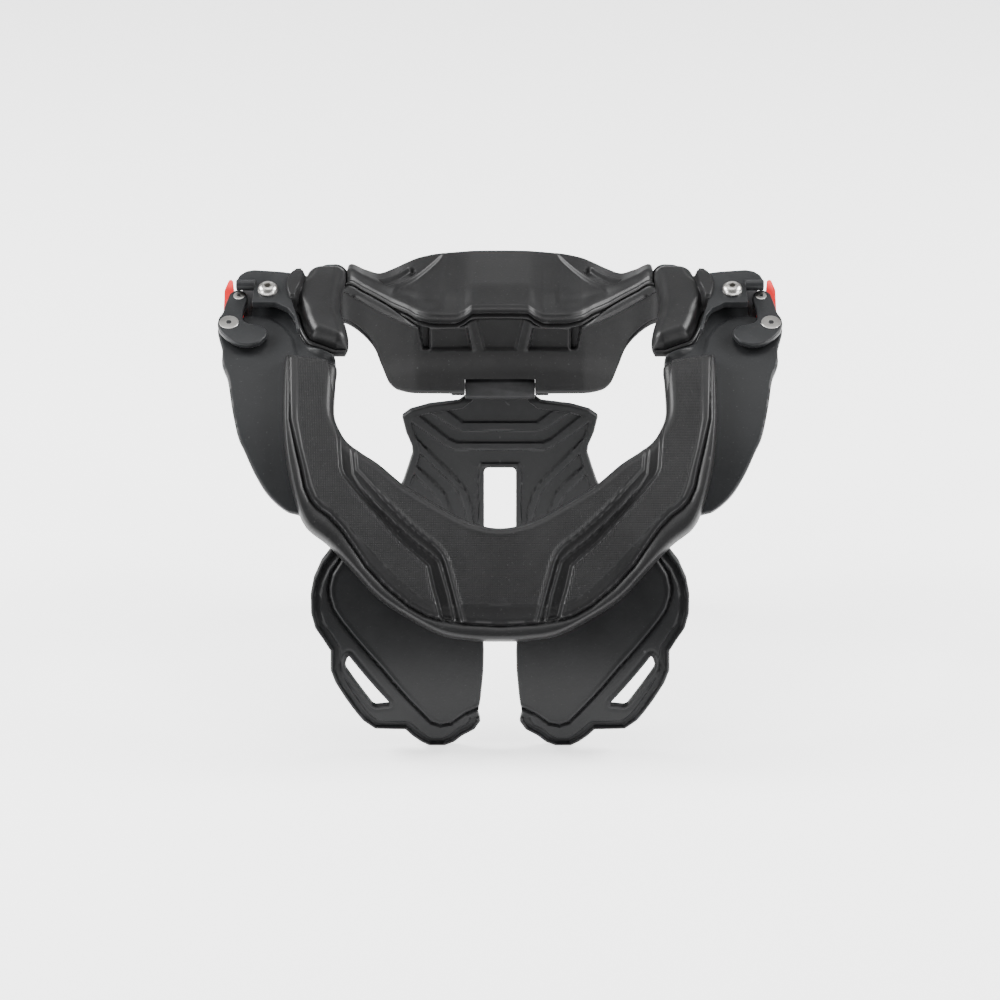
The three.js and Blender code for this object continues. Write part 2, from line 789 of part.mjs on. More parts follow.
// Back plate
// Columns: share of the drop, half width
const backTable = [
  [0, 0.2113],
  [0.0161, 0.2817],
  [0.0595, 0.3521],
  [0.1399, 0.4014],
  [0.2363, 0.4261],
  [0.3489, 0.4296],
  [0.467, 0.4056],
  [0.5563, 0.369],
  [0.6262, 0.3493],
  [0.6905, 0.3324],
  [0.7267, 0.3345],
  [0.791, 0.3563],
  [0.8633, 0.3704],
  [0.8915, 0.338],
  [0.9156, 0.2676],
  [0.9325, 0.1549],
  [0.9566, 0.1289],
];
const backShares = [-1, -0.6, -0.2, 0.2, 0.6, 1];
function backDepth(z) {
  return hingeDepth + (hingeHeight - z) * backLean;
}
function backGrid(offset) {
  return backTable.map(([rise, half]) => {
    const z = floorLevel + rise * backDrop;
    return backShares.map((s) => new THREE.Vector3(s * half * halfWidth, backDepth(z) + offset, z));
  });
}
const backSheet = slab(backGrid(-backThickness / 2), backGrid(backThickness / 2));

// A raised bar along a line of points on the front of the back plate
function backRib(points, width, height) {
  const line = points.map(([x, rise]) => new THREE.Vector2(x * halfWidth, floorLevel + rise * backDrop));
  const left = [];
  const right = [];
  line.forEach((point, i) => {
    const before = line[Math.max(0, i - 1)];
    const after = line[Math.min(line.length - 1, i + 1)];
    const along = after.clone().sub(before).normalize();
    const across = new THREE.Vector2(-along.y, along.x).multiplyScalar(width / 2);
    left.push(point.clone().add(across));
    right.push(point.clone().sub(across));
  });
  const shape = new THREE.Shape(left.concat(right.reverse()));
  const geometry = new THREE.ExtrudeGeometry(shape, { depth: backThickness + height, bevelEnabled: false });
  const p = geometry.attributes.position;
  for (let k = 0; k < p.count; k += 1) {
    const z = p.getY(k);
    const rise = p.getZ(k);
    p.setXYZ(k, p.getX(k), backDepth(z) + backThickness / 2 - 0.5 - rise, z);
  }
  return geometry;
}
const topRibs = [
  [[0.2641, 0.8923], [0.1972, 0.8521]],
  [[0.2958, 0.8682], [0.2148, 0.8071]],
  [[0.3134, 0.8232], [0.2007, 0.7588]],
  [[0.3099, 0.7781], [0.1937, 0.7154]],
];
const sideRibs = [
  [[0.2711, 0.7026], [0.1514, 0.574], [0.1042, 0.4293]],
  [[0.2859, 0.6736], [0.1761, 0.5498], [0.1268, 0.381]],
  [[0.3028, 0.6093], [0.2225, 0.5289], [0.1803, 0.3971]],
  [[0.3169, 0.5659], [0.2394, 0.4855], [0.2113, 0.3971]],
];
const ribs = [];
for (const [end, start] of topRibs) {
  ribs.push(backRib([[-end[0], end[1]], [-start[0], start[1]], [start[0], start[1]], end], 3, 0.9));
}
for (const side of [-1, 1]) {
  for (const line of sideRibs) {
    ribs.push(backRib(line.map(([x, rise]) => [side * x, rise]), 2.6, 0.9));
  }
}
const slotHalf = 0.0606 * halfWidth;
const slotTop = floorLevel + 0.6222 * backDrop;
const slotFoot = floorLevel + 0.2524 * backDrop;
const slotRim = box(
  -slotHalf - 3,
  slotHalf + 3,
  backDepth(slotTop) - backThickness / 2 - 1,
  backDepth(slotTop),
  slotFoot - 3,
  slotTop + 3,
);
const slotTool = box(
  -slotHalf,
  slotHalf,
  hingeDepth - notchReach,
  hingeDepth + notchReach,
  slotFoot,
  slotTop,
);
const knuckle = rod(hingeRadius, -hingeHalfWidth, hingeHalfWidth, hingeDepth, hingeHeight, 20);
const backPlate = cut(joined([backSheet, knuckle, slotRim, ...ribs]), [slotTool, pinBore]);
addPiece('back_plate', backPlate, material(0x2c2d2f, 0.6, 0));

// The brace rests on the floor, centred on the origin
const bounds = new THREE.Box3();
for (const mesh of group.children) {
  mesh.geometry.computeBoundingBox();
  bounds.union(mesh.geometry.boundingBox);
}
for (const mesh of group.children) {
  mesh.geometry.translate(
    -(bounds.min.x + bounds.max.x) / 2,
    -(bounds.min.y + bounds.max.y) / 2,
    -bounds.min.z,
  );
}

export default group;
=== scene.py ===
"""Motocross neck brace: moulded foam collars, plastic shells, flaps and clamps."""
import math

import bmesh
import bpy
import numpy as np
from mathutils import Matrix, Vector


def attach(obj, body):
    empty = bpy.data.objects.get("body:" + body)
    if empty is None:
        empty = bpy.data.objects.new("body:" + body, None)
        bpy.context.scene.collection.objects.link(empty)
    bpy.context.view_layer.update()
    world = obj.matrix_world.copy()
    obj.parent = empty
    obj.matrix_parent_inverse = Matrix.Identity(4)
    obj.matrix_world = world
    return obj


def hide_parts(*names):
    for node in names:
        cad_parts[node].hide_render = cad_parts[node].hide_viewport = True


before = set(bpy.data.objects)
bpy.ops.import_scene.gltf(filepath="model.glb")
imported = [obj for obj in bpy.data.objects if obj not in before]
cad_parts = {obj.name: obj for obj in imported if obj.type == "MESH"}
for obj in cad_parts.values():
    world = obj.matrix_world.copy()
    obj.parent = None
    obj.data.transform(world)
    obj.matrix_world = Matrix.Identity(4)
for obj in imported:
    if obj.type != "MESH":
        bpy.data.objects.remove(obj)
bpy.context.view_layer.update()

# Lengths are in millimetres until in_frame turns them into metres
SADDLE_RADIUS = 285.0
SADDLE_DEPTH = 132.003
SADDLE_LEVEL = -69.997
SHIFT = np.array([0.0, 2.33, -6.6])
CLAMP_TURN = math.radians(22)
CLAMP_ROOT = (25.24, 194.25)


# Camera
camera_data = bpy.data.cameras.new("camera")
camera_data.sensor_width = 36
camera_data.lens = 138.46
camera_data.clip_start = 0.05
camera_data.clip_end = 20
camera = bpy.data.objects.new("camera", camera_data)
camera.location = (0, -1.8520, 0.8396)
camera.rotation_euler = (math.radians(68), 0, 0)
bpy.context.scene.collection.objects.link(camera)
bpy.context.scene.camera = camera


# Measuring on a surface
def in_frame(x, y, z):
    return (np.stack([x, y, z], axis=1) + SHIFT) / 1000


def on_saddle(x, run, height):
    turn = run / SADDLE_RADIUS
    y = SADDLE_DEPTH - (SADDLE_RADIUS + height) * np.sin(turn)
    z = SADDLE_LEVEL + (SADDLE_RADIUS + height) * np.cos(turn)
    return in_frame(x, y, z)


def on_clamp(x, v, height):
    y = CLAMP_ROOT[0] + v * math.cos(CLAMP_TURN) - height * math.sin(CLAMP_TURN)
    z = CLAMP_ROOT[1] + v * math.sin(CLAMP_TURN) + height * math.cos(CLAMP_TURN)
    return in_frame(x, y, z)


def ease(value, low, high):
    t = np.clip((value - low) / (high - low), 0, 1)
    return t * t * (3 - 2 * t)


def rounded(distance, radius):
    t = 1 - np.clip(distance / radius, 0, 1)
    return np.sqrt(1 - t * t)


def crest(distance, width):
    return np.exp(-((distance / width) ** 2))


def side_of(x, y, line):
    """Distance to a line of points, positive on its left-hand side"""
    best = np.full(len(x), 1e9)
    lean = np.zeros(len(x))
    for (ax, ay), (bx, by) in zip(line[:-1], line[1:]):
        dx, dy = bx - ax, by - ay
        size = math.hypot(dx, dy)
        share = np.clip(((x - ax) * dx + (y - ay) * dy) / size**2, 0, 1)
        away = np.hypot(x - ax - share * dx, y - ay - share * dy)
        across = (dx * (y - ay) - dy * (x - ax)) / size
        tie = np.abs(away - best) < 1e-6
        closer = (away < best - 1e-6) | (tie & (np.abs(across) > np.abs(lean)))
        best = np.where(closer, away, best)
        lean = np.where(closer, across, lean)
    return best * np.where(lean < 0, -1, 1)


def along(table, share, straight=False):
    """Point of a table of rows at a share of its length, on a smooth run"""
    rows = np.array(table, float)
    at = np.clip(share, 0, 1) * (len(rows) - 1)
    first = np.clip(at.astype(int), 0, len(rows) - 2)
    t = (at - first)[:, None]
    a, b = rows[first], rows[first + 1]
    if straight:
        return a + (b - a) * t
    before = rows[np.maximum(first - 1, 0)]
    after = rows[np.minimum(first + 2, len(rows) - 1)]
    bend = 2 * before - 5 * a + 4 * b - after
    swing = 3 * a - before - 3 * b + after
    return 0.5 * (2 * a + (b - before) * t + bend * t**2 + swing * t**3)


def even(table, share, middle, straight=False):
    """Turns a share of the real length into a share of the table's rows"""
    fine = np.linspace(0, 1, 2000)
    path = middle(along(table, fine, straight))
    steps = np.hypot(np.diff(path[0]), np.diff(path[1]))
    length = np.concatenate([[0], np.cumsum(steps)])
    return np.interp(share * length[-1], length, fine)


def both_halves(table):
    """Rows of a left half, in degrees, as rows of the whole band in millimetres"""
    arc = SADDLE_RADIUS * math.pi / 180
    half = [(-a, b * arc, -c, d * arc) for a, b, c, d in table]
    return half + [(-a, b, -c, d) for a, b, c, d in reversed(half[:-1])]


def edge_lines(rows, count=160):
    """Inner and outer edge of a band of rows"""
    path = along(rows, np.linspace(0, 1, count))
    return [tuple(p[:2]) for p in path], [tuple(p[2:4]) for p in path]


# Making a piece
def new_sheet(across, lengthways, spread=None):
    """A flat sheet of unit size, or of the size that spread gives its points"""
    mesh = bmesh.new()
    bmesh.ops.create_grid(mesh, x_segments=across, y_segments=lengthways, size=0.5)
    bmesh.ops.translate(mesh, verts=mesh.verts, vec=(0.5, 0.5, 0))
    if spread:
        points = np.array([v.co[:] for v in mesh.verts])
        for vert, spot in zip(mesh.verts, spread(points[:, 0], points[:, 1])):
            vert.co = (spot[0], spot[1], 0)
    return mesh


def thicken(mesh):
    """Turns a sheet into a closed slab whose upper layer has z of 1"""
    raised = bmesh.ops.extrude_face_region(mesh, geom=mesh.faces[:])["geom"]
    upper = [v for v in raised if isinstance(v, bmesh.types.BMVert)]
    bmesh.ops.translate(mesh, verts=upper, vec=(0, 0, 1))
    return mesh


def cut_polygon(mesh, corners):
    """Cuts a convex hole into a sheet, with its sides straight"""
    middle = Vector((sum(c[0] for c in corners), sum(c[1] for c in corners))) / len(corners)
    reach = max((Vector(c) - middle).length for c in corners) * 1.1
    sides = []
    for a, b in zip(corners, corners[1:] + corners[:1]):
        normal = Vector((b[1] - a[1], a[0] - b[0], 0)).normalized()
        if normal.dot(Vector((middle.x - a[0], middle.y - a[1], 0))) > 0:
            normal = -normal
        near = [f for f in mesh.faces if (f.calc_center_median().xy - middle).length < reach]
        edges = list({e for f in near for e in f.edges})
        verts = list({v for f in near for v in f.verts})
        bmesh.ops.bisect_plane(mesh, geom=verts + edges + near, plane_co=(a[0], a[1], 0),
                               plane_no=normal)
        sides.append((Vector((a[0], a[1], 0)), normal))
    gone = [f for f in mesh.faces
            if all((Vector((*f.calc_center_median().xy, 0)) - spot).dot(normal) < 0
                   for spot, normal in sides)]
    bmesh.ops.delete(mesh, geom=gone, context="FACES")


def reshape(mesh, place):
    """Moves every point to where place says, and keeps its weave and its run"""
    points = np.array([v.co[:] for v in mesh.verts])
    spots, run, weave = place(points[:, 0], points[:, 1], points[:, 2])
    run_layer = mesh.verts.layers.float_vector.new("run")
    weave_layer = mesh.verts.layers.float.new("weave")
    for k, vert in enumerate(mesh.verts):
        vert.co = spots[k]
        vert[run_layer] = (run[0][k] / 1000, run[1][k] / 1000, 0)
        vert[weave_layer] = weave[k]


def thin_under(mesh, across, strips):
    """Joins the hidden underside of a unit slab into a few long strips"""
    spare = []
    for edge in mesh.edges:
        a, b = edge.verts
        column = round(a.co.x * across)
        if max(a.co.z, b.co.z) < 0.5 and abs(a.co.x - b.co.x) < 1e-5 and 0 < column < across:
            if column * strips % across >= strips:
                spare.append(edge)
    bmesh.ops.dissolve_edges(mesh, edges=spare, use_verts=True)
    return mesh


def add_piece(mesh, name, body, finish, stands_for=(), angle=40):
    bmesh.ops.recalc_face_normals(mesh, faces=mesh.faces[:])
    data = bpy.data.meshes.new(name)
    mesh.to_mesh(data)
    mesh.free()
    data.shade_smooth()
    data.set_sharp_from_angle(angle=math.radians(angle))
    piece = bpy.data.objects.new(name, data)
    bpy.context.scene.collection.objects.link(piece)
    data.materials.append(finish)
    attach(piece, body)
    if stands_for:
        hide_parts(*stands_for)
    return piece


# Shader node groups
def new_group(name, inputs, outputs):
    group = bpy.data.node_groups.new(name, "ShaderNodeTree")
    for label, kind, value in inputs:
        socket = group.interface.new_socket(label, in_out="INPUT", socket_type=kind)
        if value is not None:
            socket.default_value = value
    for label, kind in outputs:
        group.interface.new_socket(label, in_out="OUTPUT", socket_type=kind)
    return group, group.nodes.new("NodeGroupInput"), group.nodes.new("NodeGroupOutput")


def sum_node(tree, operation, first, second):
    node = tree.nodes.new("ShaderNodeMath")
    node.operation = operation
    for socket, value in zip(node.inputs, (first, second)):
        if isinstance(value, (int, float)):
            socket.default_value = value
        elif value is not None:
            tree.links.new(value, socket)
    return node.outputs[0]


def noise_node(tree, vector, scale, detail, rough=0.5):
    node = tree.nodes.new("ShaderNodeTexNoise")
    node.inputs["Detail"].default_value = detail
    node.inputs["Roughness"].default_value = rough
    if isinstance(scale, (int, float)):
        node.inputs["Scale"].default_value = scale
    else:
        tree.links.new(scale, node.inputs["Scale"])
    tree.links.new(vector, node.inputs["Vector"])
    return node.outputs["Fac"]


FLOAT = "NodeSocketFloat"
VECTOR = "NodeSocketVector"


def make_grain():
    """Fine pebbled skin of moulded foam and plastic"""
    group, given, result = new_group(
        "moulded_grain",
        [("Place", VECTOR, None), ("Scale", FLOAT, 900.0)],
        [("Height", FLOAT), ("Cloud", FLOAT)],
    )
    cells = group.nodes.new("ShaderNodeTexVoronoi")
    cells.feature = "SMOOTH_F1"
    cells.inputs["Smoothness"].default_value = 0.6
    group.links.new(given.outputs["Place"], cells.inputs["Vector"])
    group.links.new(given.outputs["Scale"], cells.inputs["Scale"])
    fine = noise_node(group, given.outputs["Place"], 2600.0, 3)
    height = sum_node(group, "ADD", cells.outputs["Distance"], sum_node(group, "MULTIPLY", fine, 0.5))
    group.links.new(height, result.inputs["Height"])
    group.links.new(noise_node(group, given.outputs["Place"], 42.0, 5, 0.6), result.inputs["Cloud"])
    return group


def make_weave():
    """Rows of small raised dots that follow the surface"""
    group, given, result = new_group(
        "dot_weave",
        [("Run", VECTOR, None), ("Pitch", FLOAT, 0.00125), ("Mask", FLOAT, 1.0)],
        [("Height", FLOAT)],
    )
    split = group.nodes.new("ShaderNodeSeparateXYZ")
    group.links.new(given.outputs["Run"], split.inputs["Vector"])
    turn = sum_node(group, "DIVIDE", 2 * math.pi, given.outputs["Pitch"])
    waves = []
    for sign in ("ADD", "SUBTRACT"):
        mixed = sum_node(group, sign, split.outputs["X"], split.outputs["Y"])
        turned = sum_node(group, "MULTIPLY", mixed, turn)
        waves.append(sum_node(group, "SINE", sum_node(group, "MULTIPLY", turned, 0.7071), None))
    dots = sum_node(group, "MULTIPLY", waves[0], waves[1])
    group.links.new(sum_node(group, "MULTIPLY", dots, given.outputs["Mask"]), result.inputs["Height"])
    return group


def make_edge_wear_and_highlight():
    """Paler sharp edges, from how sharply the surface turns: partly rubbed wear, partly a painted highlight
    along crests and ridges
    """
    group, given, result = new_group(
        "edge_wear_and_highlight",
        [("Place", VECTOR, None), ("Start", FLOAT, 0.53), ("End", FLOAT, 0.62)],
        [("Mask", FLOAT)],
    )
    shape = group.nodes.new("ShaderNodeNewGeometry")
    ramp = group.nodes.new("ShaderNodeMapRange")
    group.links.new(shape.outputs["Pointiness"], ramp.inputs["Value"])
    group.links.new(given.outputs["Start"], ramp.inputs["From Min"])
    group.links.new(given.outputs["End"], ramp.inputs["From Max"])
    broken = sum_node(group, "MULTIPLY", noise_node(group, given.outputs["Place"], 130.0, 4), 1.4)
    group.links.new(sum_node(group, "MULTIPLY", ramp.outputs["Result"], broken), result.inputs["Mask"])
    return group


def make_dust():
    """Scattered pale specks"""
    group, given, result = new_group(
        "dust_specks",
        [("Place", VECTOR, None), ("Amount", FLOAT, 0.3)],
        [("Mask", FLOAT)],
    )
    specks = noise_node(group, given.outputs["Place"], 900.0, 2)
    patches = noise_node(group, given.outputs["Place"], 30.0, 3)
    ramp = group.nodes.new("ShaderNodeMapRange")
    ramp.inputs["From Min"].default_value = 0.66
    ramp.inputs["From Max"].default_value = 0.78
    group.links.new(specks, ramp.inputs["Value"])
    amount = sum_node(group, "MULTIPLY", patches, given.outputs["Amount"])
    group.links.new(sum_node(group, "MULTIPLY", ramp.outputs["Result"], amount), result.inputs["Mask"])
    return group


GRAIN = make_grain()
WEAVE = make_weave()
EDGE_WEAR_AND_HIGHLIGHT = make_edge_wear_and_highlight()
DUST = make_dust()


def place_group(tree, group, values, links):
    node = tree.nodes.new("ShaderNodeGroup")
    node.node_tree = group
    for label, value in values.items():
        node.inputs[label].default_value = value
    for label, source in links.items():
        tree.links.new(source, node.inputs[label])
    return node


def mix_colour(tree, mask, first, second):
    node = tree.nodes.new("ShaderNodeMix")
    node.data_type = "RGBA"
    tree.links.new(mask, node.inputs[0])
    for socket, value in ((node.inputs[6], first), (node.inputs[7], second)):
        if isinstance(value, tuple):
            socket.default_value = (*value, 1)
        else:
            tree.links.new(value, socket)
    return node.outputs[2]


def moulded(name, dark, pale, wear_and_highlight_colour, rough, grain_scale, grain_depth, weave_depth=0.0, dust=0.2,
            specular=0.5, wear_and_highlight_range=(0.53, 0.62)):
    """Matt black foam or plastic: cloudy tone, pebbled skin, pale sharp edges that are partly rubbed wear
    and partly painted highlight, specks of dust
    """
    finish = bpy.data.materials.new(name)
    finish.use_nodes = True
    tree = finish.node_tree
    shader = tree.nodes["Principled BSDF"]
    place = tree.nodes.new("ShaderNodeTexCoord").outputs["Object"]
    grain = place_group(tree, GRAIN, {"Scale": grain_scale}, {"Place": place})
    edge_wear_and_highlight_mask = place_group(tree, EDGE_WEAR_AND_HIGHLIGHT, {"Start": wear_and_highlight_range[0], "End": wear_and_highlight_range[1]}, {"Place": place})
    specks = place_group(tree, DUST, {"Amount": dust}, {"Place": place})
    base = mix_colour(tree, grain.outputs["Cloud"], dark, pale)
    base = mix_colour(tree, edge_wear_and_highlight_mask.outputs["Mask"], base, wear_and_highlight_colour)
    base = mix_colour(tree, specks.outputs["Mask"], base, (0.2, 0.2, 0.2))
    tree.links.new(base, shader.inputs["Base Color"])
    spread = tree.nodes.new("ShaderNodeMapRange")
    spread.inputs["To Min"].default_value = rough - 0.07
    spread.inputs["To Max"].default_value = rough + 0.07
    tree.links.new(grain.outputs["Cloud"], spread.inputs["Value"])
    tree.links.new(spread.outputs["Result"], shader.inputs["Roughness"])
    shader.inputs["Specular IOR Level"].default_value = specular
    bump = tree.nodes.new("ShaderNodeBump")
    bump.inputs["Strength"].default_value = 0.5
    bump.inputs["Distance"].default_value = grain_depth
    tree.links.new(grain.outputs["Height"], bump.inputs["Height"])
    last = bump
    if weave_depth:
        run = tree.nodes.new("ShaderNodeAttribute")
        run.attribute_name = "run"
        mask = tree.nodes.new("ShaderNodeAttribute")
        mask.attribute_name = "weave"
        dots = place_group(tree, WEAVE, {}, {"Run": run.outputs["Vector"], "Mask": mask.outputs["Fac"]})
        last = tree.nodes.new("ShaderNodeBump")
        last.inputs["Strength"].default_value = 0.9
        last.inputs["Distance"].default_value = weave_depth
        tree.links.new(dots.outputs["Height"], last.inputs["Height"])
        tree.links.new(bump.outputs["Normal"], last.inputs["Normal"])
    tree.links.new(last.outputs["Normal"], shader.inputs["Normal"])
    return finish


# The third colour of each finish goes on sharp edges: partly rubbed wear, partly a painted highlight on
# crests and ridges
foam_skin = moulded("foam_skin", (0.007, 0.007, 0.0073), (0.013, 0.013, 0.0134),
                    (0.035, 0.035, 0.036), 0.38, 1100.0, 0.00005, 0.0001, specular=0.2)
shell_skin = moulded("shell_plastic", (0.0098, 0.0103, 0.0109), (0.0165, 0.0171, 0.0181),
                     (0.035, 0.035, 0.037), 0.38, 1500.0, 0.00004, specular=0.14)
flap_skin = moulded("flap_plastic", (0.0058, 0.006, 0.0063), (0.0108, 0.0111, 0.0117),
                    (0.045, 0.045, 0.047), 0.44, 1300.0, 0.00005, dust=0.1, specular=0.17)
clamp_skin = moulded("clamp_plastic", (0.0115, 0.0121, 0.0128), (0.02, 0.0207, 0.0218),
                     (0.035, 0.035, 0.037), 0.34, 1700.0, 0.00003, specular=0.18)


def brushed_steel():
    """Turned stainless steel with fine rings of machining and darker smudges"""
    finish = bpy.data.materials.new("screw_steel")
    finish.use_nodes = True
    tree = finish.node_tree
    shader = tree.nodes["Principled BSDF"]
    shader.inputs["Metallic"].default_value = 1.0
    place = tree.nodes.new("ShaderNodeTexCoord").outputs["Object"]
    grain = place_group(tree, GRAIN, {"Scale": 3200.0}, {"Place": place})
    edge_wear_and_highlight_mask = place_group(tree, EDGE_WEAR_AND_HIGHLIGHT, {"Start": 0.52, "End": 0.7}, {"Place": place})
    base = mix_colour(tree, grain.outputs["Cloud"], (0.3, 0.29, 0.275), (0.52, 0.51, 0.49))
    # Pale sharp edges of the steel: partly rubbed wear, partly a painted glint
    base = mix_colour(tree, edge_wear_and_highlight_mask.outputs["Mask"], base, (0.85, 0.85, 0.84))
    tree.links.new(base, shader.inputs["Base Color"])
    spread = tree.nodes.new("ShaderNodeMapRange")
    spread.inputs["To Min"].default_value = 0.2
    spread.inputs["To Max"].default_value = 0.42
    tree.links.new(grain.outputs["Cloud"], spread.inputs["Value"])
    tree.links.new(spread.outputs["Result"], shader.inputs["Roughness"])
    bump = tree.nodes.new("ShaderNodeBump")
    bump.inputs["Strength"].default_value = 0.3
    bump.inputs["Distance"].default_value = 0.00002
    tree.links.new(grain.outputs["Height"], bump.inputs["Height"])
    tree.links.new(bump.outputs["Normal"], shader.inputs["Normal"])
    return finish


screw_steel = brushed_steel()
# Its third colour goes on sharp edges: partly rubbed wear, partly a painted highlight
red_plastic = moulded("red_plastic", (0.52, 0.003, 0.006), (0.68, 0.005, 0.01), (0.8, 0.06, 0.06),
                      0.32, 1500.0, 0.00002, dust=0.03, specular=0.3)


# Front collar: hard shell with the bare wings
FRAME_ROWS = both_halves([
    (117, 19.4, 122.5, 19.4), (113.5, 19.9, 126, 19.9), (110.8, 20.6, 128.4, 20.6),
    (109.2, 21.8, 129, 21.8), (107.4, 23.2, 129.6, 23.2), (106.2, 23.8, 138.4, 23.75),
    (105.2, 24.3, 143, 24.3), (103.7, 25.2, 145, 25.2), (101.6, 26.4, 144, 26.4),
    (98.6, 27.4, 142.2, 27.9), (93, 28.2, 141.9, 28.9), (87.6, 28.8, 141.8, 29.9),
    (84, 29.6, 140.6, 30.8), (84.2, 31, 138.3, 32.2), (86.4, 33.8, 135.6, 35.6),
    (86.5, 37, 132.1, 38.9),
    (83, 39.4, 128.2, 40.8), (77, 41.4, 122.8, 43.3), (71, 42.8, 116, 45.6),
    (63.5, 44.4, 107, 47.3), (57, 45.5, 98, 48), (51, 46.5, 89, 49.8), (42, 47.8, 76, 52.1),
    (33, 49, 62.5, 54.8), (20, 50.2, 46, 57.4), (10, 50.9, 24, 59.2), (0, 51.1, 0, 59.6),
])
ARM_SHOULDER = [(131, 115.2), (118.5, 117.8), (111.5, 123.7), (106.6, 132.4), (103.8, 144)]


def band_middle(path):
    return (path[:, 0] + path[:, 2]) / 2, (path[:, 1] + path[:, 3]) / 2


def band_place(rows, height):
    """Lays a slab over the saddle between the inner and outer edge of its rows"""

    def place(u, v, layer):
        row = along(rows, even(rows, v, band_middle))
        x = row[:, 0] + (row[:, 2] - row[:, 0]) * u
        run = row[:, 1] + (row[:, 3] - row[:, 1]) * u
        level, weave = height(x, run, layer > 0.5)
        return on_saddle(x, run, level), (x, run), weave

    return place


def frame_height(x, run, upper):
    inner, outer = edge_lines(FRAME_ROWS)
    edge = np.minimum(np.abs(side_of(x, run, inner)), np.abs(side_of(x, run, outer)))
    edge = np.minimum(edge, (run - 19.4 * 4.974).clip(0))
    turned = 1.0 * (1 - rounded(edge, 1.1))
    step = side_of(np.abs(x), run, ARM_SHOULDER)
    relief = -0.7 * ease(step, -0.4, 0.4) * ease(160 - run, 0, 12)
    from_inner = np.abs(side_of(x, run, inner))
    lip = 2.6 * ease(-from_inner, -4, -1) * ease(-np.abs(x), -101, -91) * ease(149 - run, 0, 3)
    lip = lip * ease(run, 128, 133)
    level = np.where(upper, relief - turned + lip, -3.5 + 0.5 * turned)
    return level, np.zeros(len(x))


shell = thicken(new_sheet(52, 700))
reshape(shell, band_place(FRAME_ROWS, frame_height))
add_piece(shell, "collar_shell", "front_half", shell_skin, ["front_frame"])

# Front collar: moulded foam pad
PAD_ROWS = both_halves([
    (84.5, 30.55, 109, 29.75), (82.9, 31.3, 109.6, 30.4), (83.4, 33.3, 109.6, 33),
    (83.5, 36.9, 109.3, 37.5), (80.2, 38.9, 107.1, 42.3), (76.1, 40.2, 102.2, 46.6),
    (69.5, 41.4, 96.5, 49.3), (60.4, 42.7, 84.9, 51.3), (48.8, 44.8, 72, 54.1),
    (41, 45.9, 62, 56.3), (33.8, 46.8, 50.4, 58), (18.4, 48.6, 30, 60.2), (7.9, 49.3, 14, 60.8),
    (0, 49.5, 0, 60.9),
])
CHANNEL_WALL = [
    (83.2, 183), (81, 198.7), (79.7, 215.9), (78.1, 220.1), (72.6, 227.3), (65.6, 235.6),
    (57.7, 244.7), (48.8, 254.7), (40.9, 261.6), (35.5, 266.5), (33.1, 277.1), (30.6, 285.8),
    (28.6, 293.6),
]
CHANNEL_RIDGE = [
    (76.2, 190), (75.6, 197.1), (73.3, 219.1), (69.7, 225.4), (62.7, 234.6), (52.8, 244.7),
    (42.9, 253.7), (34.1, 260.6), (30.2, 264), (28.2, 270.4), (25.2, 281), (22.4, 293.6),
]
CHANNEL_LIP = [
    (73.6, 190), (73.1, 197.1), (71.3, 217), (64.8, 224.3), (56.8, 233.5), (47.9, 242.7),
    (39, 250.7), (31.2, 256.6), (28.2, 260.1), (26.2, 264.5), (23.3, 275.2), (18.2, 294),
]
RIM_GROOVE = [
    (107.3, 140), (107.3, 147.3), (105.5, 189.3), (102, 205), (99.3, 215.8), (97.1, 226.4),
    (94, 233.2), (90.4, 237.4), (84.9, 241.5), (78.8, 248.1), (71.8, 258.2), (66.2, 266.6),
    (56.4, 277), (44.7, 286.6), (37, 290.9), (30.1, 293), (19.7, 294.7), (0, 295.8),
]
WEAVE_EDGE = [
    (103.2, 140), (103.2, 148), (101.4, 189.8), (98.5, 205.4), (95.7, 216.2), (93.1, 225.7),
    (91, 231.5), (86.4, 236.1), (81.9, 240.2), (75.3, 246.8), (69.3, 253.9), (60.3, 263.8),
    (50.9, 273.2), (42.9, 280.5), (33, 285.4), (26.6, 286.4), (14.8, 286.1), (0, 285.9),
]


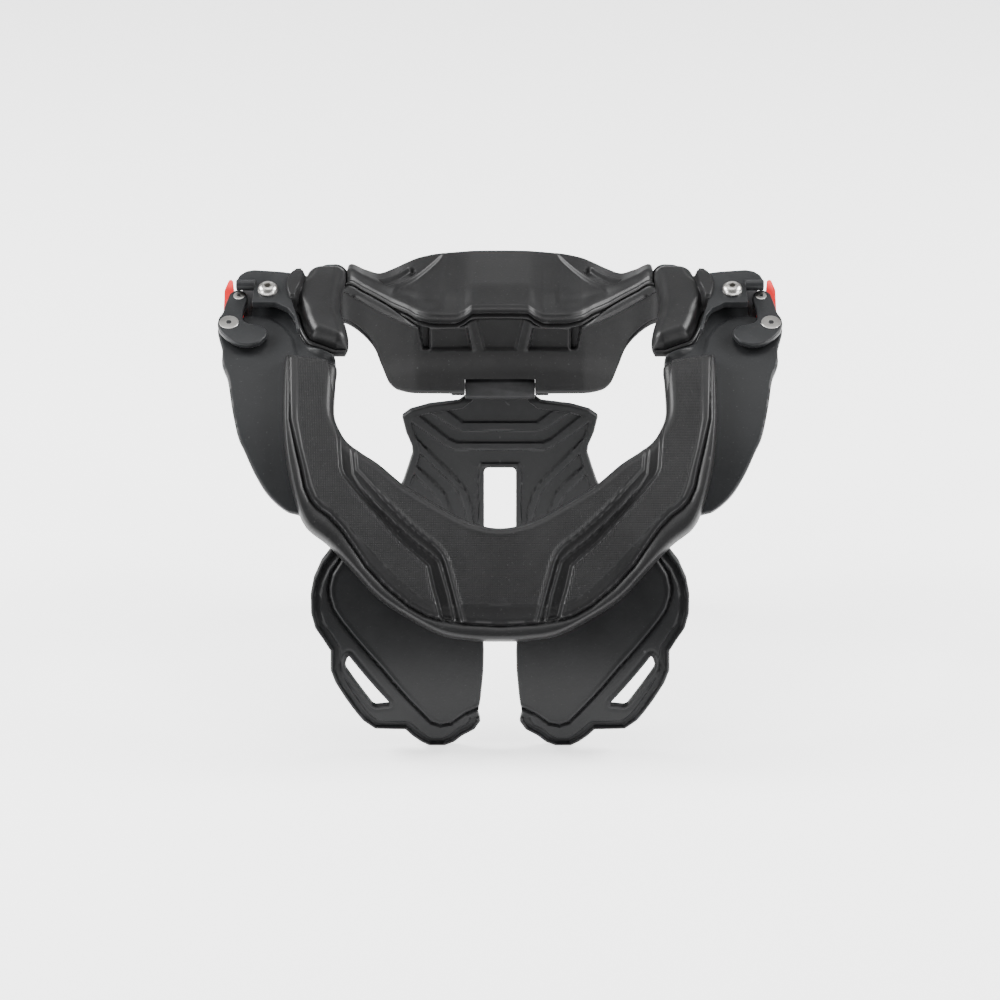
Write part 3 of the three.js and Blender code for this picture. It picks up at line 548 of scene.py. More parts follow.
def pad_height(x, run, upper):
    inner, outer = edge_lines(PAD_ROWS)
    half = np.abs(x)
    from_inner = np.abs(side_of(x, run, inner))
    from_outer = np.abs(side_of(x, run, outer))
    from_end = np.abs(side_of(half, run, [(84.5, 151.9), (109, 147.9)]))
    wall = side_of(half, run, CHANNEL_WALL)
    ridge = side_of(half, run, CHANNEL_RIDGE)
    lip = side_of(half, run, CHANNEL_LIP)
    groove = side_of(half, run, RIM_GROOVE)
    weave_edge = side_of(half, run, WEAVE_EDGE)
    inside = ease(groove, 0.3, 1.6)
    channel = -2.7 * ease(wall, -1.1, 1.2)
    channel += 1.0 * ease(ridge, -0.8, 0.6) + 1.7 * ease(lip, -0.8, 0.8)
    low = ease(run, 222, 236)
    channel += (0.3 * crest(wall + 1.2, 0.9) + 0.75 * crest(ridge - 0.5, 0.85)) * low
    channel += 0.65 * crest(lip - 0.6, 0.95) * low
    slope = np.clip(groove / np.maximum(groove - weave_edge, 0.1), 0, 1)
    slope = np.where(weave_edge > 0, 1, slope)
    deep = 0.4 + 0.6 * ease(run, 165, 225)
    fall = -2.1 * (1 - slope) ** 1.4 + 0.3 * crest(weave_edge - 0.2, 0.5)
    fall += 0.8 * crest(groove - 1.2, 0.8)
    share = from_outer / np.maximum(from_outer - groove, 0.2)
    rim = np.where(groove < 0, 1.7 * np.sin(math.pi * np.clip(share, 0, 1) ** 0.8), 0)
    rim -= 0.7 * crest(groove, 0.55)
    relief = channel * inside + (fall + rim) * deep
    full = 8.4 + relief
    shape = rounded(from_inner, 5.5) * rounded(from_outer, 1.7) * rounded(from_end, 4)
    level = np.where(upper, 1.7 + (full - 1.7) * shape, 0.35)
    bands = np.maximum(ease(-wall, 0.5, 1.5), ease(lip, 1.0, 2.0))
    weave = ease(weave_edge, 0.3, 1.2) * ease(from_inner, 3, 7) * bands * upper
    return level, weave


pad = thin_under(thicken(new_sheet(96, 720)), 96, 8)
reshape(pad, band_place(PAD_ROWS, pad_height))
add_piece(pad, "front_collar_pad", "front_half", foam_skin, ["front_pad"])

# Shoulder pads
SHOULDER_ROWS = [
    (80, 13.6, 99, 13.8), (79.8, 15.4, 102, 15.5), (80.4, 17, 104.4, 17.3),
    (81.4, 18.7, 108.6, 18.6), (82.1, 20.3, 110.4, 20.3), (82.3, 21.8, 109, 21.9),
    (81.2, 23.5, 105.6, 23.5), (79.4, 24.8, 103.9, 24.9), (78, 26.1, 101.2, 26.4),
    (77.6, 27, 98.2, 27.3), (77.9, 27.9, 91.6, 28), (79.3, 28.7, 84.6, 28.7),
]
# Inner edge of the clamp case, which the outer lip of the pad lies over
CASE_EDGE = [(103.9, 80), (103.4, 88), (103.2, 92.4), (104.5, 100.4), (106.1, 105.4), (107, 112), (107, 140)]


def shoulder_rows(side):
    arc = SADDLE_RADIUS * math.pi / 180
    return [(side * a, b * arc, side * c, d * arc) for a, b, c, d in SHOULDER_ROWS]


def shoulder_height(rows):
    inner, outer = edge_lines(rows)
    ends = [(rows[0][0], rows[0][1]), (rows[0][2], rows[0][3])]
    foot = [(rows[-1][0], rows[-1][1]), (rows[-1][2], rows[-1][3])]

    def height(x, run, upper):
        from_inner = np.abs(side_of(x, run, inner))
        from_outer = np.minimum(np.abs(side_of(x, run, outer)), np.abs(side_of(x, run, foot)))
        from_back = np.abs(side_of(x, run, ends))
        from_rim = np.minimum(from_outer, np.abs(side_of(x, run, inner[-36:])))
        drop = np.clip((84.0 - run) / 9.5, 0, 1)
        edge = np.minimum(from_outer, from_inner)
        bead = -1.7 + 1.8 * np.sqrt(np.clip(1 - ((from_outer - 1.3) / 1.3) ** 2, 0, 1))
        arch = rounded(from_inner, 6.5) * rounded((from_outer - 2.8).clip(0), 7) * rounded(from_back, 5)
        body = -1.9 + 8.3 * arch
        level = np.where(from_outer < 2.8, np.where(from_outer < 2.6, bead, -1.9), body)
        level = np.where(from_inner < 2.8, np.minimum(level, -1.9 + 8.3 * rounded(from_inner, 6.5)), level)
        over = -side_of(np.abs(x), run, CASE_EDGE)
        raised = ease(run, 86, 91) * ease(113 - run, 0, 3)
        lip = 9.5 * ease(over, -4.2, -0.6) - 1.2 * (1 - rounded(from_outer, 1.2)) * ease(over, -0.6, 0)
        level = np.where(raised > 0, np.maximum(level, lip * raised), level)
        level -= 6.6 * drop**1.2
        under = -4.9 + 1.9 * (1 - ease(edge, 0.4, 3)) - 5 * drop
        under = np.where((over > -0.4) & (run > 88) & (run < 112), 8.15, under)
        level = np.maximum(level, under + 0.35)
        return np.where(upper, level, under), np.zeros(len(x))

    return height


for side, word in ((-1, "left"), (1, "right")):
    rows = shoulder_rows(side)
    cuff = thicken(new_sheet(80, 150))
    reshape(cuff, band_place(rows, shoulder_height(rows)))
    add_piece(cuff, "shoulder_saddle_" + word, "rear_half", foam_skin,
              ["shoulder_pad_" + word])

# Rear collar
COLLAR = np.array([
    (0, 66, 179.6, 118, 194.6), (14, 66, 179.4, 117.6, 194.6), (19, 65.6, 176.2, 117, 194.6),
    (24, 65, 174.2, 116, 194.6), (34, 64, 174.6, 112.5, 194.8), (43, 62.4, 177, 107, 194.6),
    (50, 60, 182.4, 101, 193.4), (56, 57.6, 188, 95, 192), (63, 54.6, 193.6, 88, 191),
    (71, 51, 199.4, 81, 195), (79.4, 47.8, 204.6, 72.5, 201), (84.4, 44.6, 201.4, 70, 198),
])


def eased_run(x, stations, values):
    """A smooth run through values that never swings past them"""
    slope = np.diff(values) / np.diff(stations)
    bend = np.zeros(len(values))
    same = slope[1:] * slope[:-1] > 0
    bend[1:-1][same] = 2 * slope[1:][same] * slope[:-1][same] / (slope[1:] + slope[:-1])[same]
    bend[-1] = slope[-1]
    k = np.clip(np.searchsorted(stations, x, side="right") - 1, 0, len(slope) - 1)
    size = (stations[1:] - stations[:-1])[k]
    t = np.clip((x - stations[k]) / size, 0, 1)
    curve = values[k] * (1 + 2 * t) * (1 - t) ** 2 + values[k + 1] * t * t * (3 - 2 * t)
    return curve + size * (bend[k] * t * (1 - t) ** 2 + bend[k + 1] * t * t * (t - 1))


def collar_at(x):
    """Front depth, front level, rear depth and rear level of the collar's top"""
    return [eased_run(np.abs(x), COLLAR[:, 0], COLLAR[:, k]) for k in range(1, 5)]


# Front edge of the deck, as distance back from its front and level below its top
DECK_EDGE = np.array([
    (0.7, -6.0), (0.0, -5.6), (-0.2, -4.9), (0.1, -4.4), (1.1, -3.9), (1.2, -3.5), (0.2, -3.0),
    (-0.3, -2.3), (0.0, -1.5), (0.8, -0.9), (1.7, -1.1), (2.4, -0.7), (3.2, -0.1), (4.4, 0.0),
])
EDGE_SHARE = 0.2
PLATEAU_EDGE = [(26, 118), (31.7, 109.4), (40.1, 96.3), (47.6, 84.5), (54, 73), (58, 60), (59, 50)]
GRIP_SLOT = [(61.2, 68.5), (47.2, 92.2)]


def deck_place(u, v, layer):
    x = (2 * u - 1) * 80.2
    front, front_z, rear, rear_z = collar_at(x)
    half = np.abs(x)
    edge = np.clip(v / EDGE_SHARE, 0, 1)
    rows = np.linspace(0, 1, len(DECK_EDGE))
    back = np.interp(edge, rows, DECK_EDGE[:, 0])
    drop = np.interp(edge, rows, DECK_EDGE[:, 1])
    reach = np.clip((v - EDGE_SHARE) / (1 - EDGE_SHARE), 0, 1)
    y = front + back + (rear - front - 3.4) * reach
    share = (y - front) / (rear - front)
    base = front_z + (rear_z - front_z) * share
    from_rear = rear - y
    step = side_of(half, y, PLATEAU_EDGE)
    slot = np.abs(side_of(half, y, GRIP_SLOT))
    arm = ease(half, 47, 58)
    lift = drop + 1.6 * ease(share, 0.05, 0.4)
    lift = lift - 2.6 * arm * (1 - ease(share, 0.0, 0.34))
    lift = lift - 1.3 * ease(-step, -0.3, 0.9) * ease(half, 28, 33) * ease(share, 0.1, 0.3)
    lift = lift - 2.6 * (1 - ease(slot, 1.5, 2.8))
    lift = lift - 5.2 * (1 - rounded(from_rear, 3.6))
    lift = lift - 1.6 * (1 - rounded(80.2 - half, 2.5)) * (drop > -2)
    under = base - 6 - 2.6 * share
    z = np.where(layer > 0.5, np.maximum(base + lift, under + 0.2), under)
    y = np.where(layer > 0.5, y, np.where(v < EDGE_SHARE, front + 0.7 + 2.7 * edge, y))
    return in_frame(x, y, z), (x, y), np.zeros(len(x))


deck = thin_under(thicken(new_sheet(320, 150)), 320, 40)
reshape(deck, deck_place)
add_piece(deck, "rear_deck_pad", "rear_half", foam_skin, ["rear_top_pad"])

FACE_FOOT = np.array([
    (0, 130), (19.2, 130), (30, 130.4), (44, 131.4), (54, 134.6), (58.5, 139), (62.6, 150),
    (66, 160), (72, 168.8), (79, 175.2), (84.4, 178.4),
])
FACE_BEAD = [(75.7, 191.0), (63.3, 181.5), (53.3, 174.9), (44.9, 170.2), (38, 171)]
POST_OUTER = [(17.6, 172), (17.1, 169.3), (14.1, 155.7)]
POST_INNER = [(13.6, 176), (12.8, 173.1), (8.6, 156.3)]


def pocket(x, z, sides, depth, soft=0.5):
    """A pocket inside every one of its side lines, which run with the inside on their left"""
    inside = np.full(len(x), 1e9)
    for line in sides:
        inside = np.minimum(inside, side_of(x, z, line))
    return -depth * ease(inside, -soft, soft)


def face_ends(x):
    """Lowest and highest level of the neck pad"""
    return eased_run(np.abs(x), FACE_FOOT[:, 0], FACE_FOOT[:, 1]), collar_at(x)[1] - 6.35


def face_flat(u, v):
    x = (2 * u - 1) * 84.4
    foot, roof = face_ends(x)
    return np.stack([x, foot + (roof - foot) * v], axis=1)


def face_place(x, z, layer):
    half = np.abs(x)
    front = collar_at(x)[0]
    foot, roof = face_ends(x)
    relief = pocket(half, z, [[(40.8, 140), (40.8, 157.2), (42.9, 170), (43.2, 190)],
                              [(37.9, 190), (37.7, 140)],
                              [(30, 157), (50, 157.6)]], 3.2)
    relief += pocket(half, z, [[(37, 140), (37, 190)], [(60, 168.1), (0, 168.1)],
                               [(18.6, 190), (18.2, 172), (17.9, 169.3), (15, 155.7), (13, 140)],
                               [(10, 156), (50, 156.8)]], 2.3, 0.9)
    relief += pocket(half, z, [[(0, 155.8), (30, 156)],
                               [(8.2, 140), (8.4, 156.3), (12.4, 173.1), (13.6, 190)]], 2.0, 0.9)
    relief += 0.7 * crest(side_of(half, z, POST_OUTER), 1.2) * ease(z, 154, 157)
    bead = side_of(half, z, FACE_BEAD)
    relief += 1.5 * ease(-bead, -0.5, 0.6) * ease(half, 42, 46)
    relief += 0.8 * crest(bead + 0.8, 0.8) * ease(half, 42, 46)
    relief -= 0.9 * ease(152.5 - z, -3, 10)
    relief -= 1.2 * crest(z - foot - 2.6, 0.9) * ease(half, 62, 70)
    edge = np.minimum(z - foot, 84.4 - half)
    turned = 2.6 * (1 - rounded(edge, 3)) + 0.9 * (1 - rounded(roof - z, 1.4))
    face = front + 0.9 - relief + turned
    y = np.where(layer > 0.5, face, front + 10)
    weave = np.zeros(len(x))
    return in_frame(x, y, z), (x, z), weave


face_pad = new_sheet(290, 86, face_flat)
cut_polygon(face_pad, [(-18.75, 128), (18.75, 128), (18.75, 139), (-18.75, 139)])
reshape(thicken(face_pad), face_place)
add_piece(face_pad, "rear_neck_pad", "rear_half", foam_skin, ["rear_face_pad"])

# Chest flaps
CHEST_ROWS = [
    (6.6, 35.5, 28), (9.2, 39.5, 23), (13.5, 44, 19), (17.8, 47.5, 12.8), (18.1, 62.6, 12.6),
    (23.2, 68.5, 9.8), (28, 71.8, 10.9), (36.2, 76.9, 9.6), (44.9, 81.9, 8.8), (51.4, 84.3, 8.2),
    (61, 84.2, 8), (66, 87.6, 8.2), (71.5, 91.8, 8.4), (78.2, 93.9, 9), (86.4, 94.2, 12),
    (92.8, 92.8, 24), (99.9, 89.1, 46), (104.8, 84.6, 66),
]
CHEST_SLOT = [
    (75, 58.4), (75.9, 57.6), (77, 54), (76.5, 52), (63.6, 32.9), (62, 32), (55.4, 32.8), (55.2, 34),
]
PANEL_EDGE = [
    (78, 104.5), (80.4, 100.3), (84.3, 95.3), (85.9, 89.1), (85.5, 85.1), (83.5, 79.4),
    (79.5, 74.1), (70.2, 63.7), (59.6, 52), (51.7, 42), (46.4, 35.3), (40.5, 28.1),
    (35.2, 21.4), (29.9, 19.3), (23.9, 20.6), (17.1, 26.5), (9, 31),
]


def chest_depth(x, z):
    level = z - 90.18
    wrap = np.maximum(0, np.abs(x) / 142 - 0.35)
    return -96.8 + 0.6733 * level + 0.007058 * level**2 + 24 * wrap**2


def chest_outline():
    outer = [(r[1], r[0]) for r in CHEST_ROWS]
    inner = [(r[2], r[0]) for r in CHEST_ROWS]
    return outer, inner


def chest_flat(side):
    def spread(u, v):
        row = along(CHEST_ROWS, even(CHEST_ROWS, v, lambda p: (p[:, 1], p[:, 0]), True), True)
        x = row[:, 2] + (row[:, 1] - row[:, 2]) * u
        return np.stack([side * x, row[:, 0]], axis=1)

    return spread


def chest_relief(x, z):
    outer, inner = chest_outline()
    from_outer = np.abs(side_of(x, z, outer))
    from_inner = np.abs(side_of(x, z, inner))
    foot = np.abs(side_of(x, z, [(35.5, 6.6), (28, 6.6)]))
    from_outer = np.minimum(from_outer, foot)
    low_inner = np.where(z < 25, from_inner, 99)
    beaded = np.minimum(from_outer, low_inner)
    panel = side_of(x, z, PANEL_EDGE)
    slot = np.abs(side_of(x, z, CHEST_SLOT + CHEST_SLOT[:1]))
    relief = 1.0 * ease(-beaded, -1.9, -1.3)
    relief -= 0.9 * ease(beaded, 1.5, 2.2) * ease(-beaded, -5.2, -4.5)
    relief += 0.5 * crest(panel + 2.2, 0.9) * ease(beaded, 4.6, 5.2)
    relief -= 1.3 * crest(panel + 0.5, 0.7)
    relief += 0.6 * ease(panel, 0, 0.7)
    relief += 0.5 * ease(-slot, -1.9, -1.3) - 0.4 * crest(slot - 2.6, 0.7)
    edge = np.minimum(np.minimum(from_outer, from_inner), slot)
    relief -= 0.8 * (1 - rounded(edge, 0.9))
    return relief


for side, word in ((-1, "left"), (1, "right")):
    flap = new_sheet(130, 170, chest_flat(side))
    cut_polygon(flap, [(side * x, z) for x, z in CHEST_SLOT])

    def flap_place(x, z, layer):
        depth = chest_depth(x, z)
        relief = chest_relief(np.abs(x), z)
        y = np.where(layer > 0.5, depth - 1.2 - relief, depth + 1.7)
        return in_frame(x, y, z), (x, z), np.zeros(len(x))

    reshape(thicken(flap), flap_place)
    add_piece(flap, "chest_flap_" + word, "front_half", flap_skin, ["chest_plate_" + word])

# Back flap
BACK_ROWS = [
    (6.6, 30), (8.6, 40), (14, 50), (24, 57), (36, 60.5), (50, 61), (64.7, 57.6), (75.8, 52.4),
    (84.5, 49.6), (92.5, 47.2), (97, 47.5), (105, 50.6), (114, 52.6), (117.5, 48), (120.5, 38),
    (122.6, 22), (125.6, 18.3),
]
BACK_SLOT = [
    (-8.6, 38), (8.6, 38), (8.6, 81.8), (8, 83.2), (6.6, 84), (-6.6, 84), (-8, 83.2), (-8.6, 81.8),
]
BACK_RIBS = [
    [(33, 122), (25.5, 115.4), (19.7, 110.8), (-1, 110.8)],
    [(40, 118), (33.4, 113.8), (25.5, 107.6), (20.5, 106), (-1, 105.8)],
    [(46, 117), (41.7, 113.4), (27.7, 101.3), (23.4, 99.1), (-1, 98.9)],
    [(49, 112), (43.9, 108), (29.9, 97.4), (24.1, 94.8), (-1, 94.5)],
]
BACK_DIAGONALS = [
    [(39.3, 95), (23.5, 77.6), (18.4, 70.5), (15.2, 60.1), (14.2, 48)],
    [(41.2, 90.7), (25.7, 74.4), (22.1, 68.9), (17.8, 53.7), (17, 46)],
    [(42.3, 82.4), (35.1, 75.2), (30.1, 68.9), (26.5, 57.7), (25, 46)],
    [(44.9, 78.4), (35.2, 68.1), (32.7, 63.3), (31.6, 60.1), (29, 46)],
]


def back_relief(x, z):
    half = np.abs(x)
    edge = [(r[1], r[0]) for r in BACK_ROWS]
    from_edge = np.abs(side_of(half, z, edge))
    slot = np.hypot(np.maximum(half - 8.6, 0), np.maximum(np.maximum(z - 84, 38 - z), 0))
    relief = 1.2 * ease(-from_edge, -4.4, -3.8) * ease(126 - z, 0, 4)
    field = ease(from_edge, 3.6, 4.6)
    for first, second in ((0, 1), (2, 3)):
        upper = side_of(half, z, BACK_RIBS[first])
        lower = side_of(half, z, BACK_RIBS[second])
        relief = relief + 1.3 * ease(upper, -0.3, 0.3) * ease(-lower, -0.3, 0.3) * field
        outer = side_of(half, z, BACK_DIAGONALS[first])
        inner = side_of(half, z, BACK_DIAGONALS[second])
        fade = ease(z, 46, 52)
        relief = relief + 1.3 * ease(outer, -0.3, 0.3) * ease(-inner, -0.3, 0.3) * field * fade
    relief = relief + 1.1 * ease(-slot, -3.2, -2.6)
    relief -= 0.9 * (1 - rounded(np.minimum(from_edge, slot), 1.0))
    return relief


def back_flat(u, v):
    share = even(BACK_ROWS, v, lambda p: (p[:, 1], p[:, 0]), True)
    row = along(BACK_ROWS, share, True)
    return np.stack([(2 * u - 1) * row[:, 1], row[:, 0]], axis=1)


back = new_sheet(190, 210, back_flat)
cut_polygon(back, BACK_SLOT)


def back_place(x, z, layer):
    depth = 79.02 + 0.04 * (131 - z)
    y = np.where(layer > 0.5, depth - 1.8 - back_relief(x, z), depth + 1.8)
    return in_frame(x, y, z), (x, z), np.zeros(len(x))


reshape(thicken(back), back_place)
add_piece(back, "back_flap", "back_support", flap_skin, ["back_plate"])


# Hinge barrel of the back flap
def turned(profile, segments, place, finish, name, body, slot, stands_for=(), flat=None):
    """Spins a profile of (radius, height) about the z axis, planes one side flat, and places it"""
    mesh = bmesh.new()
    verts = [mesh.verts.new((r, 0, h)) for r, h in profile]
    edges = [mesh.edges.new(pair) for pair in zip(verts[:-1], verts[1:])]
    bmesh.ops.spin(mesh, geom=verts + edges, cent=(0, 0, 0), axis=(0, 0, 1), angle=2 * math.pi,
                   steps=segments, use_merge=True)
    bmesh.ops.remove_doubles(mesh, verts=mesh.verts[:], dist=1e-5)
    if flat:
        everything = mesh.verts[:] + mesh.edges[:] + mesh.faces[:]
        sliced = bmesh.ops.bisect_plane(mesh, geom=everything, plane_co=(0, -flat, 0),
                                        plane_no=(0, -1, 0), clear_outer=True)
        rim = [e for e in sliced["geom_cut"] if isinstance(e, bmesh.types.BMEdge)]
        bmesh.ops.holes_fill(mesh, edges=rim, sides=0)
    bmesh.ops.transform(mesh, matrix=place, verts=mesh.verts[:])
    bmesh.ops.scale(mesh, vec=(0.001, 0.001, 0.001), verts=mesh.verts[:])
    return add_piece(mesh, name, body, finish, stands_for, angle=50)


shift = Matrix.Translation(Vector(SHIFT.tolist()))
barrel = shift @ Matrix.Translation((0, 79.02, 131)) @ Matrix.Rotation(math.pi / 2, 4, "Y")
turned([(0, -18.68), (6.2, -18.68), (6.8, -18.5), (7, -18), (7, 18), (6.8, 18.5), (6.2, 18.68),
        (0, 18.68)], 48, barrel, flap_skin, "hinge_barrel", "back_support", "flap", flat=5.6)


# Clamps
HOUSING_TOP = [
    (135.4, 8.4), (136.2, 12), (134.8, 16.2), (131.6, 19.2), (127.7, 20.3), (114, 19),
    (103.8, 17), (105, 9), (106.6, 4), (107.6, -1.5), (106.2, -8), (104.6, -14), (102.8, -22),
    (101.8, -26), (103.7, -26), (105.4, -16), (108.8, -9.8), (115.7, -5.2), (127.6, -5.2),
    (127.2, 2.5), (126.8, 7.8),
]
HOUSING_BASE = [
    (133.8, -4.4), (134.2, 4), (134.4, 18.4), (133, 20.4), (128.6, 20.4), (114, 19), (105.6, 17),
    (106.6, 9), (108.9, 4), (109.4, -1.5), (112, -4.8), (127.5, -4.8),
]
HOUSING_BACK = [(124.4, 16.8), (125.4, 19.9), (114, 19), (105.6, 17), (106, 13.4), (110, 15)]
LEVER = [
    (141.8, -2.4), (140.6, 3), (139.8, 7.2), (137, 9.6), (133.6, 9.6), (131, 7), (130.2, 2),
    (132.2, -8), (132.4, -13), (130.4, -16), (121.4, -18.6), (119, -22.5), (119.6, -26.5),
    (122.6, -30.8), (127.4, -32.8), (132, -32.6), (136.4, -30.4), (140.4, -26.6), (143.6, -22),
    (145, -17), (144.6, -12), (142.6, -8),
]
LINK = [
    (142.6, -5), (142.8, 6), (143, 13.5), (141, 21.8), (139, 21.4), (138.2, 15), (137.4, 9),
    (132.6, 5), (132.4, -5),
]
CLAMP_TILT = Matrix.Rotation(CLAMP_TURN, 4, "X")


def clamp_place(x, v, height):
    """Turns and sets a part drawn flat into the plane of a clamp"""
    return (shift @ Matrix.Translation((0, CLAMP_ROOT[0], CLAMP_ROOT[1])) @ CLAMP_TILT
            @ Matrix.Translation((x, v, height)))


def plate(mesh, outline, side, low, high, soften):
    """A flat plate with its outline rounded and its upper and lower edges bevelled"""
    verts = [mesh.verts.new((side * x, v, low)) for x, v in outline]
    face = mesh.faces.new(verts)
    raised = bmesh.ops.extrude_face_region(mesh, geom=[face])["geom"]
    top = [v for v in raised if isinstance(v, bmesh.types.BMVert)]
    bmesh.ops.translate(mesh, verts=top, vec=(0, 0, high - low))
    uprights = [e for v in verts for e in v.link_edges if e.other_vert(v) in top]
    bmesh.ops.bevel(mesh, geom=uprights, offset=1.4, offset_type="OFFSET", affect="EDGES",
                    segments=3, profile=0.5, material=-1, clamp_overlap=True)
    caps = [f for f in mesh.faces if len(f.verts) > 8 and abs(f.normal.z) > 0.9
            and (abs(f.calc_center_median().z - high) < 1e-4 or abs(f.calc_center_median().z - low) < 1e-4)]
    rims = list({e for f in caps for e in f.edges})
    bmesh.ops.bevel(mesh, geom=rims, offset=soften, offset_type="OFFSET", affect="EDGES",
                    segments=4, profile=0.5, material=-1, clamp_overlap=True)


def rolled_lug(mesh, side, inner, outer, v, height, radius):
    """Round lug that runs across the rear outer corner of a clamp"""
    lug = bmesh.ops.create_cone(mesh, cap_ends=True, segments=28, radius1=radius, radius2=radius,
                                depth=outer - inner)["verts"]
    rims = [e for v in lug for e in v.link_edges if abs(e.verts[0].co.z - e.verts[1].co.z) < 1e-6]
    place = (Matrix.Translation((side * (inner + outer) / 2, v, height))
             @ Matrix.Rotation(math.pi / 2, 4, "Y"))
    bmesh.ops.transform(mesh, matrix=place, verts=lug)
    bmesh.ops.bevel(mesh, geom=list(set(rims)), offset=0.7, offset_type="OFFSET", affect="EDGES",
                    segments=3, profile=0.5, material=-1, clamp_overlap=True)


def clamp_piece(name, body, finish, plates, side, stands_for, lug=None):
    mesh = bmesh.new()
    if lug:
        rolled_lug(mesh, side, *lug)
    for outline, low, high, soften in plates:
        part = bmesh.new()
        plate(part, outline, side, low, high, soften)
        data = bpy.data.meshes.new("part")
        part.to_mesh(data)
        part.free()
        mesh.from_mesh(data)
        bpy.data.meshes.remove(data)
    bmesh.ops.transform(mesh, matrix=clamp_place(0, 0, 0), verts=mesh.verts[:])
    bmesh.ops.scale(mesh, vec=(0.001, 0.001, 0.001), verts=mesh.verts[:])
    return add_piece(mesh, name, body, finish, stands_for, angle=30)


def screw(name, body, side, centre, profile, socket, depth, stands_for):
    """A turned screw head with a hexagonal socket"""
    mesh = bmesh.new()
    verts = [mesh.verts.new((r, 0, h)) for r, h in profile]
    edges = [mesh.edges.new(pair) for pair in zip(verts[:-1], verts[1:])]
    bmesh.ops.spin(mesh, geom=verts + edges, cent=(0, 0, 0), axis=(0, 0, 1), angle=2 * math.pi,
                   steps=36, use_merge=True)
    bmesh.ops.remove_doubles(mesh, verts=mesh.verts[:], dist=1e-5)
    top = max(v.co.z for v in mesh.verts)
    loop = [e for e in mesh.edges if e.is_boundary]
    for sink in (0, depth):
        inward = bmesh.ops.extrude_edge_only(mesh, edges=loop)["geom"]
        loop = [e for e in inward if isinstance(e, bmesh.types.BMEdge) and e.is_boundary]
        for vert in {v for e in loop for v in e.verts}:
            turn = math.atan2(vert.co.y, vert.co.x)
            reach = socket * math.cos(math.pi / 6) / math.cos(turn % (math.pi / 3) - math.pi / 6)
            vert.co = (reach * math.cos(turn), reach * math.sin(turn), top - sink)
    bmesh.ops.holes_fill(mesh, edges=loop, sides=0)
    bmesh.ops.transform(mesh, matrix=clamp_place(side * centre[0], centre[1], 0), verts=mesh.verts[:])
    bmesh.ops.scale(mesh, vec=(0.001, 0.001, 0.001), verts=mesh.verts[:])
    return add_piece(mesh, name, body, screw_steel, stands_for, angle=32)


for side, word in ((-1, "left"), (1, "right")):
    clamp_piece("clamp_case_" + word, "rear_half", clamp_skin,
                [(HOUSING_TOP, 4.3, 8, 1.6), (HOUSING_BASE, -8.4, -4.4, 1.0),
                 (HOUSING_BACK, -7.6, 7.2, 0.6)], side, ["clamp_housing_" + word],
                (126.4, 136.4, 9.2, 7.1, 2.8))
    clamp_piece("thumb_lever_" + word, word + "_lever", clamp_skin,
                [(LEVER, 0.4, 3.6, 0.9)], side, ["latch_lever_" + word])
    clamp_piece("red_link_" + word, word + "_link", red_plastic,
                [(LINK, -3.2, 0.1, 0.6)], side, ["release_link_" + word])
    screw("dome_screw_" + word, "rear_half", side, (119.8, 4.1),
          [(0, 8.2), (5.2, 8.2), (5.2, 8.9), (4.9, 9.9), (4.2, 10.7), (3.2, 11.3), (2.2, 11.45)],
          1.75, 1.7, ["pivot_screw_" + word])
    screw("lever_bolt_" + word, word + "_lever", side, (139.1, -15.8),
          [(0, 1.7), (4.0, 1.7), (4.9, 3.2), (5.1, 3.5), (4.9, 3.72), (4.4, 3.78), (2.2, 3.78)],
          1.6, 1.5, ["lever_screw_" + word])
    screw("link_bolt_" + word, word + "_lever", side, (134.9, 5),
          [(0, 1.7), (2.3, 1.7), (2.9, 3.2), (3.0, 3.5), (2.85, 3.7), (2.5, 3.75), (1.5, 3.75)],
          1.05, 1.1, ["link_screw_" + word])

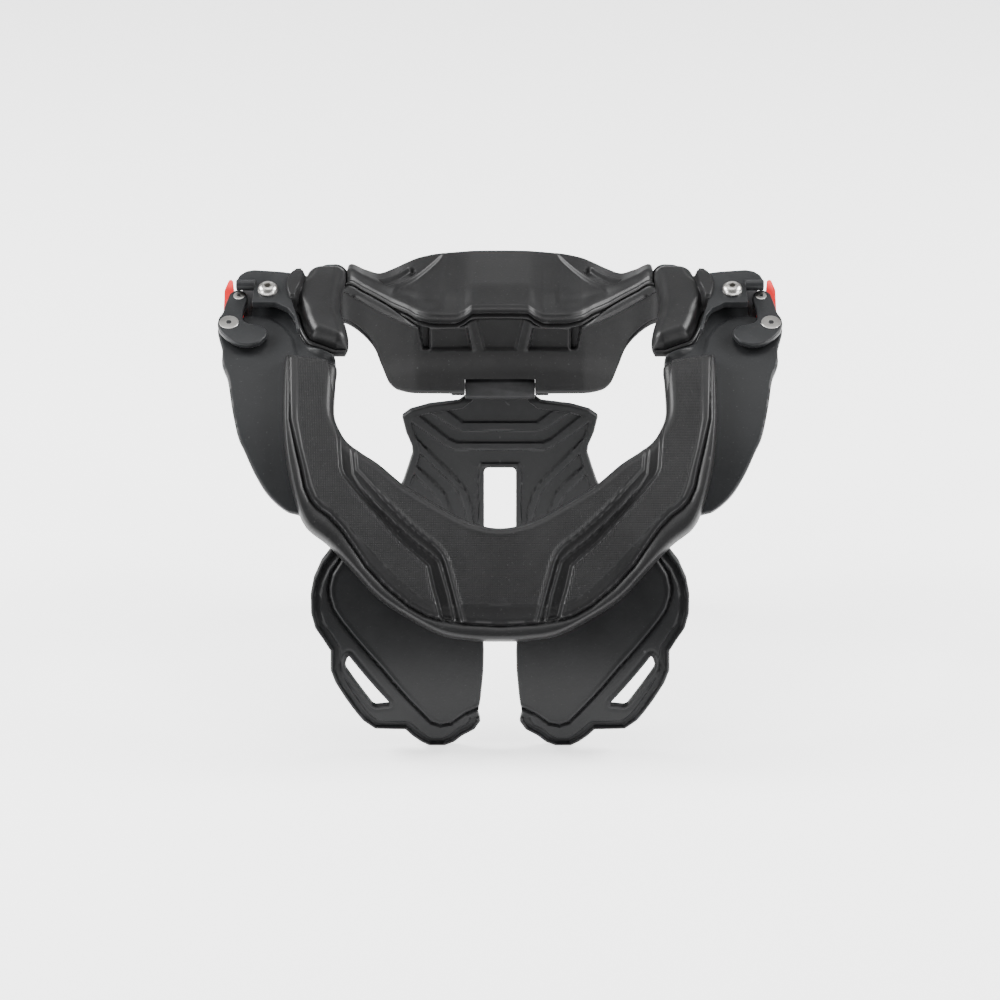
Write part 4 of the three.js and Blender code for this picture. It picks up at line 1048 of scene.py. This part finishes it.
# CAD nodes that keep their shape
for name, finish in (("rear_frame", shell_skin), ("hinge_pin", screw_steel)):
    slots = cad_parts[name].data.materials
    slots.clear()
    slots.append(finish)


# Floor, light and air
def make_floor():
    mesh = bmesh.new()
    bmesh.ops.create_grid(mesh, x_segments=8, y_segments=8, size=3.0)
    data = bpy.data.meshes.new("floor")
    mesh.to_mesh(data)
    mesh.free()
    floor = bpy.data.objects.new("floor", data)
    bpy.context.scene.collection.objects.link(floor)
    paper = bpy.data.materials.new("studio_paper")
    paper.use_nodes = True
    shader = paper.node_tree.nodes["Principled BSDF"]
    shader.inputs["Base Color"].default_value = (0.93, 0.93, 0.93, 1)
    shader.inputs["Roughness"].default_value = 0.9
    shader.inputs["Emission Color"].default_value = (1, 1, 1, 1)
    shader.inputs["Emission Strength"].default_value = 1.5
    shader.inputs["Specular IOR Level"].default_value = 0.1
    data.materials.append(paper)
    floor.location = (0, 0, -0.0002)


def soft_light(name, place, aim, size, power):
    data = bpy.data.lights.new(name, "AREA")
    data.shape = "RECTANGLE"
    data.size, data.size_y = size
    data.energy = power
    lamp = bpy.data.objects.new(name, data)
    lamp.location = place
    lamp.rotation_euler = (Vector(aim) - Vector(place)).to_track_quat("-Z", "Y").to_euler()
    bpy.context.scene.collection.objects.link(lamp)


make_floor()
soft_light("left_high", (-1.4, 0.2, 1.3), (0, 0, 0.1), (0.8, 0.8), 64)
soft_light("right_high", (1.4, 0.2, 1.3), (0, 0, 0.1), (0.8, 0.8), 56)
soft_light("overhead", (0, 0.1, 1.9), (0, 0.05, 0.1), (1.2, 0.8), 14)
soft_light("left_low", (-1.45, -0.75, 0.5), (0, 0, 0.1), (0.3, 0.8), 20)
soft_light("right_low", (1.45, -0.75, 0.5), (0, 0, 0.1), (0.3, 0.8), 17)
soft_light("back_edge", (0, 1.7, 1.5), (0, 0, 0.1), (1.6, 0.3), 8)
world = bpy.data.worlds.new("studio_air")
world.use_nodes = True
world.node_tree.nodes["Background"].inputs["Color"].default_value = (1, 1, 1, 1)
world.node_tree.nodes["Background"].inputs["Strength"].default_value = 0.3
bpy.context.scene.world = world
